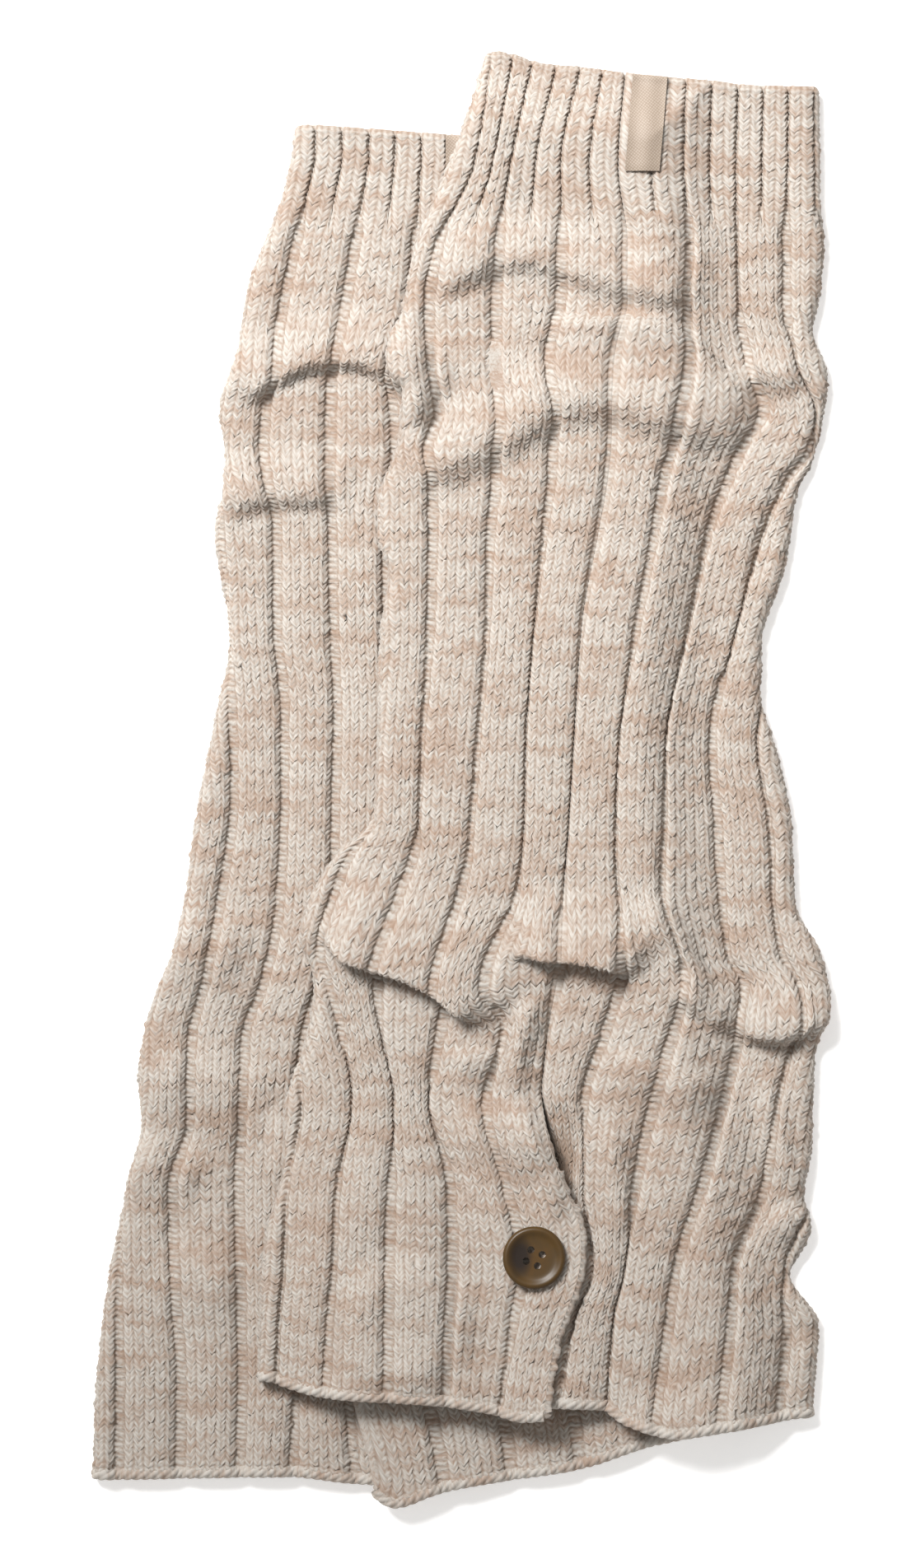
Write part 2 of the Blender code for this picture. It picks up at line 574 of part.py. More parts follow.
def build_label(shape, base, place):
    """A woven label on the cuff's ribs, turned down over the cuff's edge."""
    start_x, low_y, lean = place
    stations = label_rows(shape, low_y, start_x + LABEL_WIDTH / 2)
    columns = 5
    upper, lower = [], []
    for row in range(len(stations) + 2):
        station = stations[min(row, len(stations) - 1)]
        turned = max(row - (len(stations) - 1), 0)
        share = (station - stations[0]) / (stations[-1] - stations[0])
        line_up, line_down = [], []
        for column in range(columns):
            x = start_x + LABEL_WIDTH * column / (columns - 1) + lean * (1 - share)
            y = float(shape.bent_y(np.array(station), x, "left"))
            under = outer_height(shape, base, x, y, None) + LABEL_GAP
            out = LABEL_GAP if turned else 0.0
            down = LABEL_TURN if turned == 2 else 0.0
            thick = LABEL_THICK if turned else 0.0
            cover = 0.0 if turned == 2 else LABEL_THICK
            line_up.append((x, y + out + thick, under - down + cover))
            line_down.append((x, y + out, under - down))
        upper.append(line_up)
        lower.append(line_down)
    return place_mesh(shape.table["name"] + "_label", thin_sheet(upper, lower))


def thin_sheet(upper, lower):
    """A closed sheet between two equal grids of points."""
    mesh = bmesh.new()
    sheets = [[[mesh.verts.new(Vector(point) * MM) for point in line] for line in sheet]
              for sheet in (upper, lower)]
    rows, columns = len(upper), len(upper[0])
    for sheet in sheets:
        for row in range(rows - 1):
            for k in range(columns - 1):
                mesh.faces.new((sheet[row][k], sheet[row][k + 1], sheet[row + 1][k + 1],
                                sheet[row + 1][k]))
    over, under = sheets
    for row in range(rows - 1):
        for k in (0, columns - 1):
            mesh.faces.new((over[row][k], over[row + 1][k], under[row + 1][k],
                            under[row][k]))
    for row in (0, rows - 1):
        for k in range(columns - 1):
            mesh.faces.new((over[row][k], over[row][k + 1], under[row][k + 1],
                            under[row][k]))
    bmesh.ops.recalc_face_normals(mesh, faces=mesh.faces[:])
    return mesh


def place_mesh(name, mesh):
    """Turn a bmesh into a named object, shaded smooth up to sharp corners."""
    data = bpy.data.meshes.new(name)
    mesh.to_mesh(data)
    mesh.free()
    data.shade_smooth()
    data.set_sharp_from_angle(angle=math.radians(50))
    thing = bpy.data.objects.new(name, data)
    bpy.context.collection.objects.link(thing)
    return thing


def paint(thing, name, colour, roughness):
    """Give an object its own Principled material."""
    material = bpy.data.materials.new(name)
    material.use_nodes = True
    shader = material.node_tree.nodes["Principled BSDF"]
    shader.inputs["Base Color"].default_value = (*colour, 1.0)
    shader.inputs["Roughness"].default_value = roughness
    shader.inputs["Metallic"].default_value = 0.0
    thing.data.materials.append(material)


def build_pair():
    """Both leg warmers, the top one resting on the under one."""
    under = Legwarmer(UNDER)
    top = Legwarmer(TOP)

    def on_under(x, y):
        return stack_rise(x, y, under)

    plan = ((top, on_under, TOP_BUTTON, TOP_LABEL),
            (under, floor_rise, UNDER_BUTTON, UNDER_LABEL))
    for shape, base, button_place, label_place in plan:
        name = shape.table["name"]
        tube = place_mesh(name + "_tube", build_tube(shape, base))
        paint(tube, name + " marl knit", (0.72, 0.63, 0.55), 0.9)
        button = build_button(shape, base, button_place)
        paint(button, name + " horn button", (0.12, 0.07, 0.03), 0.3)
        label = build_label(shape, base, label_place)
        paint(label, name + " woven label", (0.83, 0.62, 0.46), 0.8)
    for thing in bpy.data.objects:
        thing.location += Vector((*CENTRING, 0.0)) * MM


for old in list(bpy.data.objects):
    bpy.data.objects.remove(old, do_unlink=True)
build_pair()
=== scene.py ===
"""The looks of a pair of ribbed knit leg warmers, laid flat with one over the other.

Each stitch that shows is modelled on the folded form of the solids: a knit stitch as a V of two
legs, a purl stitch as a slanted loop. A cord of twisted yarn binds each hem.
The sizes are in millimetres, seen from above: x to the right, y towards the cuffs.
"""
import math

import bmesh
import bpy
import numpy as np
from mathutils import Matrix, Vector


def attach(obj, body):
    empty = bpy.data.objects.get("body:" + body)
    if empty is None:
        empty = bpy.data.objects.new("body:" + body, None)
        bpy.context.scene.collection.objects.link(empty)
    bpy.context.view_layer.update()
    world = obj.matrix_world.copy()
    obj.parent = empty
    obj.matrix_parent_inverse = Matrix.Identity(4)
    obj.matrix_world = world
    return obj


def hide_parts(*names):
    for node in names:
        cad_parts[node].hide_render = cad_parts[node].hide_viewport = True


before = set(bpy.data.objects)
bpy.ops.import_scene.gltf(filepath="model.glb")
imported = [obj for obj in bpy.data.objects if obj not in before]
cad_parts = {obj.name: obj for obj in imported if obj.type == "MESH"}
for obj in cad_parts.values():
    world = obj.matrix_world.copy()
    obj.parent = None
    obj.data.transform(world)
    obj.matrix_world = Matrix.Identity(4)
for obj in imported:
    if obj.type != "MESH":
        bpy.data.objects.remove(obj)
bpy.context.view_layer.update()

MM = 0.001

# Wall of the knit, the gap between the two walls of a flattened tube, and how far cloth that
# lies on other cloth stays clear of it
WALL = 2.4
INNER_GAP = 0.8
CLEAR = 0.5

# Ribs: their height, the rounding over their middle, which doubles below ROUND_BELOW, and how
# high the cuff's narrow ribs are as a share
RIB_RISE = 1.5
RIB_CROWN = 0.35
ROUND_BELOW = -50.0
ROUND_REACH = 60.0
CUFF_RISE = 0.85

# Grooves: their depth and how much of it an open one loses; half the width of an open one's
# floor, of the cut beside it and of the slope up to a rib's shoulder, in wales
GROOVE_SINK = 0.8
OPEN_LIFT = 0.3
OPEN_FLOOR = 0.42
SINK_WALES = 0.9
SHOULDER = 1.25
CUFF_SHOULDER = 0.8

# Rib widths at which a groove is shut and at which its purl stitches show, the purl wale's
# width then, as a share of its even width, and the ends of a stretch that is pulled open
SHUT_RIB = 15.0
OPEN_RIB = 18.0
SHUT_PURL = 0.16
OPEN_PURL = 1.0
LADDER_END = 6.0

# Stitches: six wales from groove to groove, of which the one in the groove is purl. Each wale
# has four columns of points and each course has three rows
WALES = 6
COLUMNS = 4
ROWS = 3
WALE = 2.8
COURSE = 1.8
# Heights over a course, from one wale's edge across its V, before the next wale's edge
KNIT_STITCH = ((-0.54, -0.10, -0.44, -0.10),
               (-0.38, 0.26, -0.12, 0.26),
               (-0.36, 0.32, -0.10, 0.32))
PURL_STITCH = ((-0.58, -0.50, -0.16, 0.06),
               (-0.20, 0.02, -0.34, -0.46),
               (-0.10, 0.18, 0.22, 0.10))
# How far down the legs of a V reach, in courses; how uneven the stitches' heights are; how much
# of their height is left at the slit's edges
LEG_DROP = 1.2
STITCH_UNEVEN = 0.07
EDGE_RELIEF = 0.4
# How far stitches stray sideways and along, and how much more they do next to the hem
STRAY = 0.17
LOOSE = 1.2
LOOSE_REACH = 6.0
# Slow waver of the courses: its height in courses, its length and its shift from wale to wale
WAVER = 0.06
WAVER_LONG = 9.0
WAVER_SHIFT = 1.7

# Side of a flattened tube: its radius, the arc of cloth on it and the cloth that turns under
SIDE_RADIUS = 4.0
SIDE_ARC = 3.7
SIDE_TURN = 9.0
# How far round the side, as a share of half a turn, ribs fade and stitches show
RIB_FADE = 0.8
STITCH_SHOWN = 0.55
STITCH_FADE = 0.3

# Ribs that turn under at a side and have no column in a table
SPARE_RIB = 16.0
FIRST_RIB = -2
UNDERSIDE_COLUMNS = 20
UNDERSIDE_INSET = 1.5
UNDERSIDE_REACH = 40.0
# Where the top one covers the under one's right side, a column in so many wales is enough
SPARSE_WALES = 3

# Folds fade out over this length at each end, or this share of a short one; a crest is read
# every so many millimetres
FOLD_FADE = 14.0
FOLD_FADE_SHARE = 0.35
CREST_STEP = 4.0

# The uneven lie of the cloth between its folds: its height, the lengths of its waves across,
# of the bend in them, along, and of their drift, and how strong the bend is
SOFT_RISE = 0.35
SOFT_WAVES = (10.5, 21.0, 14.0, 37.0)
SOFT_BEND = 1.2

# Cuff: narrow ribs above CUFF_LOW, wide ribs below LEG_HIGH
CUFF_LOW = 187.0
LEG_HIGH = 171.0

# How far the shape of the cuff's edge and of the hem reaches into the leg
CUFF_REACH = 70.0
HEM_REACH = 60.0

# Slit: the lap lies over the other side's edge. It stands up over so many ribs, with a slope of
# so many at their far side, and it flattens the ribs that it covers
LAP_RISE = WALL + CLEAR
LAP_RISE_LENGTH = 20.0
LAP_RIBS = 2.0
LAP_SLOPE = 1.2
COVERED = 0.6

# Hollow beside the lap: how many ribs wide it is, what share of that it loses on its way down,
# how steep its side and its top are, how long its end is, and how much lower its stitches lie,
# which also darkens their colour as painted shade
HOLLOW_RIBS = 1.0
HOLLOW_NARROWS = 0.5
HOLLOW_SIDE = 1.7
HOLLOW_TOP = 1.6
HOLLOW_END = 3.0
HOLLOW_SHADE = 0.9

# Edges: the knit rolls over them, in turns of so many degrees. The way out is read over so many
# points, and each turn adds a part of a stitch to the pattern. Where the slit is shut, this
# share of the roll is left
EDGE_RADIUS = 1.1
EDGE_TURNS = (50, 100, 150)
EDGE_READ = 4
EDGE_STITCH = 0.3
EDGE_LEAST = 0.02

# Hem cord: strands of yarn twisted round each other, one for about each wale
CORD_RADIUS = 2.0
CORD_STRANDS = 4
CORD_RELIEF = 0.13
CORD_PITCH = 3.0
CORD_POINTS = 28
CORD_STEP = 0.5
CORD_READ = 4
# How far out of the edge and how far into the wall its middle lies
CORD_OUT = 0.4
CORD_SUNK = 0.35
# How dark the painted shade in the gaps between strands is, and the height at which it starts
CORD_SHADE = 0.35
CORD_GAP = 0.35

# Button: its holes are turned so many degrees, and their middles lie on a ring
BUTTON_WIDTH = 20.0
BUTTON_THICK = 3.0
BUTTON_RIM = 2.1
BUTTON_DISH = 0.9
BUTTON_STEPS = 96
HOLE_WIDTH = 2.3
HOLE_RING = 2.75
HOLE_TURN = 22
SEAM_GAP = 0.3

# Label: its front, with rows and columns, and its turn over the cuff's edge, whose rows each
# turn so many degrees about a radius counted in thicknesses
LABEL_WIDTH = 11.0
LABEL_THICK = 0.6
LABEL_GAP = 0.5
LABEL_INSET = 0.9
LABEL_COLUMNS = 16
LABEL_ROWS = 44
LABEL_BEND_ROWS = 6
LABEL_BEND = 18
LABEL_RADIUS = 1.6
LABEL_HANG = 2.6
# The cloth under it is read no nearer to the cuff's edge than this
LABEL_READ_INSET = 1.0
# It sags between the cuff's ribs, ripples along its length and dips at its sewn end
LABEL_SAG = 0.22
LABEL_SAG_WIDE = 8.2
LABEL_SAG_START = 0.25
LABEL_RIPPLE = 0.10
LABEL_RIPPLE_LONG = 3.1
LABEL_RIPPLE_SKEW = 5
LABEL_DIP = 0.25
LABEL_DIP_ROWS = 2.5

# Move that brings the middle of the pair to the origin
CENTRING = (0.7, -0.65)

# Rise of the top leg warmer where it lies on the under one, and how it comes down beside it
STACK_RISE = 2 * WALL + INNER_GAP + RIB_RISE + CLEAR
STACK_START = 2.0
STACK_RAMP = 24.0

# x, y, reach across and along, rise of the bumps over the under one's fold, lap, button and label
BUMPS = [
    (-18, 127, 17, 17, 4.2),
    (-24, -180, 36, 84, 3.2),
    (-19, -175.5, 26, 26, 3.8),
    (1, 192, 20, 34, 1.5),
]
BUMP_SLOPE = 0.5

# The photograph's height in pixels, and its scale
PHOTO_HIGH = 1904
PIXELS_PER_MM = 3.8

# The two leg warmers, read from above. Of each:
# left, right: y, x of its sides
# grooves: y, then x of the grooves between the wide ribs, numbered from 0
# cuff_edge, hem_left, hem_right: x, y of the cuff's edge and of the hem at both sides of the slit
# slit_groove, slit_top, lap: the groove that the slit follows, y of its upper end, and the side
#   that laps over
# free_edge, tucked_edge: y, x of the lap's edge and of the edge under it
# folds: crest x, y in order; rise; width to the left and right of its way; lean to the right
# creases: the same, for a sharp crease that sinks or a sharp ridge
# recess: y between which the side under the lap is hollow, and how deep. The under one's lap is
#   hidden, so its depth is 0
# ladders: grooves that are pulled open, so that their purl stitches show: number, from y, to y
# spare_ribs, last_rib: ribs that turn under at the right, past the grooves, and the last of all
# bands: the courses where the leg and the hem start
# seed: of the random draws of its stitches and its marl
# covered: whether the other one lies over its right side
# rests_on: what it lies on
# button: x, y of its middle
# label: x of its left edge at the cuff's edge, y of its lower end, sideways lean
TOP = {
    "name": "top",
    "left": [
        (232, 8.4), (211, 2.1), (185, -7.9), (169, -14.5), (148, -18.4), (141, -22.4),
        (130, -23.4), (123, -18.2), (109, -19.5), (98, -22.6), (89, -26.6), (76, -26.6),
        (65, -22.6), (47, -25.5), (9, -26.6), (-10, -27.4), (-16, -29.0), (-24, -38.5),
        (-41, -48.4), (-51, -50.8), (-65, -46.3), (-80, -47.9), (-95, -52.9), (-107, -55.8),
        (-125, -56.3), (-147, -61.8), (-164, -63.2), (-188, -63.9)],
    "right": [
        (232, 113.9), (185, 114.5), (172, 115.5), (154, 114.0), (143, 111.8), (128, 116.6),
        (111, 114.5), (101, 111.8), (90, 106.6), (75, 104.5), (64, 102.1), (43, 95.5),
        (27, 95.3), (6, 100.8), (-15, 105.0), (-41, 106.3), (-57, 114.5), (-70, 117.1),
        (-84, 113.9), (-90, 112.4), (-120, 111.3), (-133, 109.2), (-144, 111.4),
        (-160, 104.7), (-175, 113.4), (-202, 111.8)],
    "grooves": [
        (228, -6.0, 9.5, 22.6, 38.4, 52.6, 72.1, 88.9, 104.7, 120.5),
        (195, -12.0, 3.9, 15.5, 31.6, 50.0, 71.1, 87.9, 104.5, 121.0),
        (169, -24.0, -7.9, 11.8, 32.4, 53.2, 73.2, 88.2, 103.9, 122.4),
        (153, -28.0, -10.5, 11.3, 31.6, 53.2, 72.4, 88.7, 103.9, 121.6),
        (132, -27.0, -9.7, 11.3, 27.6, 48.7, 72.4, 92.6, 107.4, 123.0),
        (117, -26.0, -7.4, 11.3, 29.7, 48.2, 70.0, 97.4, 113.2, 126.0),
        (106, -27.0, -11.8, 10.5, 29.2, 47.9, 67.6, 90.0, 112.6, 126.0),
        (95, -27.0, -9.5, 11.1, 28.7, 46.8, 64.5, 85.5, 104.7, 119.0),
        (80, -27.0, -9.2, 9.5, 26.8, 44.2, 62.1, 79.7, 97.4, 112.0),
        (48, -26.0, -10.0, 8.4, 23.2, 38.4, 56.1, 72.6, 88.2, 102.6),
        (11, -27.5, -12.6, 5.3, 20.5, 35.8, 50.3, 65.3, 80.3, 94.5),
        (-15, -28.2, -13.7, 3.2, 20.0, 34.2, 49.2, 64.7, 82.1, 98.7),
        (-25, -35.5, -15.0, 2.4, 19.2, 33.4, 49.2, 64.2, 82.6, 99.5),
        (-36, -40.3, -19.2, 0.0, 17.9, 32.6, 50.0, 63.9, 83.4, 99.5),
        (-57, -45.3, -26.6, -4.5, 10.5, 32.1, 53.2, 69.7, 85.3, 102.9),
        (-67, -42.1, -27.1, -4.0, 11.8, 30.3, 50.5, 71.8, 90.8, 107.9),
        (-81, -38.2, -25.8, -6.6, 13.7, 27.6, 46.1, 67.9, 89.5, 106.6),
        (-104, -35.0, -21.6, -10.5, 7.9, 25.5, 38.9, 61.3, 84.2, 101.3),
        (-131, -39.5, -22.4, -3.4, 14.5, 33.2, 38.9, 55.3, 76.8, 97.4),
        (-157, -40.8, -23.2, -2.9, 20.0, 37.6, 42.0, 52.0, 68.4, 87.6),
        (-173, -42.1, -23.2, -3.9, 17.1, 32.6, 36.0, 48.5, 66.3, 86.3),
        (-203, -43.5, -23.7, -5.0, 12.0, 26.3, 30.5, 46.0, 62.0, 83.0)],
    "cuff_edge": [(8, 232), (16, 230.5), (26, 227.6), (37, 226.6), (58, 224), (74, 222.7),
                  (95, 220.3), (112, 220)],
    "hem_left": [(-64, -188), (-58, -192), (-42, -196), (-10, -198), (10, -201), (20, -203.5),
                 (27, -203)],
    "hem_right": [(14, -199), (45, -200), (53, -205), (69, -209), (77, -208), (100, -204.5),
                  (112, -202.4)],
    "slit_groove": 4,
    "lap": "left",
    "slit_top": -100.0,
    "free_edge": [(-100, 25.5), (-113, 27.1), (-123, 30.0), (-135, 34.7), (-144, 37.9),
                  (-153, 38.2), (-160, 37.1), (-170, 33.7), (-179, 30.3), (-189, 28.2),
                  (-203, 26.3)],
    "tucked_edge": [(-100, 25.5), (-113, 27.9), (-123, 30.4), (-135, 28.0), (-144, 21.5),
                    (-157, 21.6), (-173, 18.7), (-189, 14.9), (-203, 13.8)],
    "folds": [
        (((-14, 155), (-3, 161), (10, 166.5), (22, 168), (34, 164.5), (48, 160), (64, 157),
          (80, 154)), 3.8, 16, 10, 1.6),
        (((24, 142), (40, 143), (55, 143), (67, 140.5), (76, 133), (84, 127), (97, 122)),
         3.0, 6, 15, -1.2),
        (((-22, 99), (-6, 104), (8, 110), (18, 116), (28, 121), (40, 124), (52, 123),
          (64, 119), (78, 116), (96, 113)), 5.0, 17, 15, 2.5),
        (((-20, 146), (-17, 130), (-16, 117), (-20, 103)), 2.6, 9, 8, 0.0),
        (((88, 133), (100, 130), (112, 129)), 3.4, 10, 10, 1.0),
        (((-46, -44), (-36, -50), (-24, -54), (-12, -58), (-2, -64), (6, -72), (12, -80)),
         8.6, 25, 9, 8.5),
        (((12, -53), (22, -52.5), (34, -53), (44, -54.5), (53, -58), (60, -63)),
         10.0, 20, 6.5, 6.0),
        (((58, -34), (65, -48), (72, -62), (78, -76)), 3.4, 8, 8, 0.0),
        (((68, -64), (76, -70), (84, -75), (91, -74)), 5.0, 12, 9, 2.0),
        (((86, -72), (93, -77), (101, -78), (109, -75), (117, -69)), 6.6, 17, 10, 4.6),
        (((26, -66), (20, -79), (17, -92), (18, -106)), 3.2, 7, 6, 0.0),
        (((44, -90), (55, -92), (64, -96), (75, -99), (87, -99)), 3.2, 6, 14, -1.0),
        (((-6, -92), (4, -91), (15, -93)), 3.0, 6, 13, -1.0),
        (((-6, -106), (8, -110), (22, -118), (30, -127)), 2.8, 14, 18, 0.0),
        (((17, -100), (22, -114), (29, -130), (32, -144)), 3.6, 7, 7, 0.0),
        (((48, -106), (48, -120), (51, -136), (53, -150)), 2.6, 8, 8, 0.0),
        (((97, -93), (100, -108), (102, -122), (106, -136)), 2.8, 7, 7, 0.0),
        (((96, -146), (104, -143), (110, -144)), 2.4, 8, 9, 0.0),
        (((-52, -199), (-20, -201), (20, -206), (46, -206)), 3.4, 26, 12, 0.0),
        (((48, -206), (62, -210), (80, -210), (96, -208)), 5.0, 20, 12, 0.0)],
    "creases": [
        (((113, 103), (105, 95), (100, 85), (97, 75), (93, 60)), -2.6, 5, 5, 0.0),
        (((86, -88), (96, -90), (104, -89), (113, -86)), -2.6, 5, 5, 0.0),
        (((103, -134), (96, -142), (91, -149), (89, -158)), -2.4, 4, 5, 0.0),
        (((112, -174), (106, -182), (102, -192)), -2.0, 4, 4, 0.0)],
    "recess": (-102, -142, 6.5),
    "ladders": [(1, 170, 40), (3, 148, 122), (3, 172, 158), (4, 134, 112), (5, 150, 106),
                (6, 152, 104), (7, 190, 140), (7, 36, -36), (0, -30, -90), (1, -34, -70),
                (2, -50, -100)],
    "spare_ribs": 2,
    "last_rib": 10,
    "bands": (82, 162),
    "seed": 3,
    "covered": False,
    "rests_on": ["under_knit_leg"],
    "button": (23.2, -153.2),
    "label": (54.8, 193.2, -2.6),
}

UNDER = {
    "name": "under",
    "left": [
        (208, -52.6), (195, -54.7), (178, -59.7), (166, -64.5), (159, -67.1), (140, -70.5),
        (127, -75.0), (119, -77.1), (103, -75.0), (80, -78.4), (43, -74.2), (17, -78.4),
        (-12, -84.2), (-36, -87.4), (-57, -92.1), (-68, -96.8), (-81, -101.3), (-97, -103.2),
        (-112, -102.1), (-131, -106.6), (-162, -112.4), (-199, -116.3), (-222, -117.1)],
    "right": [(200, 57.0), (140, 61.0), (80, 58.0), (10, 53.0), (-60, 60.0), (-140, 73.0),
              (-200, 83.5), (-207, 84.2)],
    "grooves": [
        (198, -80.0, -63.5, -46.8, -29.5, -12.9, 3.9),
        (153, -92.0, -75.0, -56.6, -36.8, -15.8, 1.0),
        (127, -96.0, -79.0, -61.5, -41.6, -22.0, -5.0),
        (106, -98.0, -81.0, -63.5, -42.0, -21.0, -4.0),
        (80, -94.5, -77.5, -59.0, -41.3, -24.0, -7.0),
        (48, -92.0, -75.0, -59.0, -40.8, -24.0, -7.0),
        (22, -90.0, -73.4, -56.6, -39.7, -23.0, -7.0),
        (-4, -89.0, -72.6, -56.6, -40.3, -23.5, -7.0),
        (-42, -94.0, -77.6, -58.2, -41.0, -24.0, -8.0),
        (-66, -99.0, -82.1, -63.2, -45.5, -28.0, -12.0),
        (-83, -103.0, -86.3, -69.2, -50.0, -31.0, -14.0),
        (-110, -104.5, -86.8, -70.3, -52.9, -35.0, -17.0),
        (-131, -109.0, -92.6, -71.0, -53.5, -36.0, -20.0),
        (-165, -109.5, -91.6, -70.3, -54.0, -38.0, -32.0),
        (-193, -109.5, -89.7, -70.0, -53.0, -36.5, -33.9),
        (-226, -110.0, -90.0, -71.0, -54.0, -33.5, -27.4)],
    "cuff_edge": [(-53, 208), (-30, 206.5), (-5, 204.7), (57, 200)],
    "hem_left": [(-117, -223), (-55, -222), (-32, -224.4), (-14, -225)],
    "hem_right": [(-28, -226.5), (-26, -229.5), (-21, -231.8), (-17, -230.8), (-10, -228),
                  (0, -225.5), (16, -223), (37, -219.7), (58, -213), (78, -208.4), (84, -207)],
    "slit_groove": 5,
    "lap": "right",
    "slit_top": -125.0,
    "free_edge": [(-125, -19.0), (-138, -21.5), (-150, -27.0), (-165, -32.0), (-180, -34.0),
                  (-197, -33.7), (-207, -31.6), (-218, -28.9), (-226, -27.4)],
    "tucked_edge": [(-125, -19.0), (-138, -22.4), (-148, -26.0), (-160, -22.0), (-168, -17.8),
                    (-180, -19.6), (-197, -19.4), (-207, -17.3), (-226, -13.1)],
    "folds": [
        (((-76, 121), (-64, 129), (-51, 135.5), (-38, 137), (-27, 135), (-18, 128), (-14, 119)),
         4.8, 15, 9, 3.0),
        (((-82, 84), (-71, 91), (-60, 93), (-47, 93), (-34, 90)), 3.8, 16, 10, 2.0),
        (((-98, -48), (-84, -54), (-66, -58)), 3.6, 16, 22, 0.0),
        (((-104, -92), (-86, -97), (-70, -101), (-58, -104)), 3.4, 15, 22, 0.0),
        (((-108, -120), (-94, -125), (-80, -131)), 3.2, 13, 18, 0.0),
        (((-100, -156), (-84, -160), (-66, -164)), 2.4, 15, 20, 0.0)],
    "creases": [(((-58, -104), (-57, -118), (-57, -132)), 2.2, 8, 6, 0.0)],
    "recess": (-190, -226, 0.0),
    "ladders": [(1, 160, -230), (2, 160, -230), (3, 150, -60), (4, 150, -230), (5, -180, -230),
                (6, -180, -230)],
    "spare_ribs": 5.5,
    "last_rib": 11,
    "bands": (80, 168),
    "seed": 11,
    "covered": True,
    "rests_on": ["floor"],
    "button": (-18.9, -175.5),
    "label": (-5.0, 177.5, 0.0),
}


def ease(value):
    """0 below 0, 1 above 1 and smooth between."""
    t = np.clip(value, 0.0, 1.0)
    return t * t * (3 - 2 * t)


def curve_through(points):
    """A smooth curve through the points that never swings past them."""
    at, value = np.array(sorted(map(tuple, points)), float).T
    step = np.diff(at)
    rise = np.diff(value) / step
    slope = np.zeros_like(value)
    slope[0], slope[-1] = rise[0], rise[-1]
    for i in range(1, len(value) - 1):
        if rise[i - 1] * rise[i] > 0:
            slope[i] = 2 * rise[i - 1] * rise[i] / (rise[i - 1] + rise[i])

    def read(x):
        """The curve's value at x, held at its ends' values past them."""
        x = np.asarray(x, float)
        i = np.clip(np.searchsorted(at, x) - 1, 0, len(step) - 1)
        t = np.clip((x - at[i]) / step[i], 0.0, 1.0)
        start = value[i] * (1 + 2 * t) * (1 - t) ** 2 + slope[i] * step[i] * t * (1 - t) ** 2
        end = value[i + 1] * t * t * (3 - 2 * t) + slope[i + 1] * step[i] * t * t * (t - 1)
        return start + end

    return read


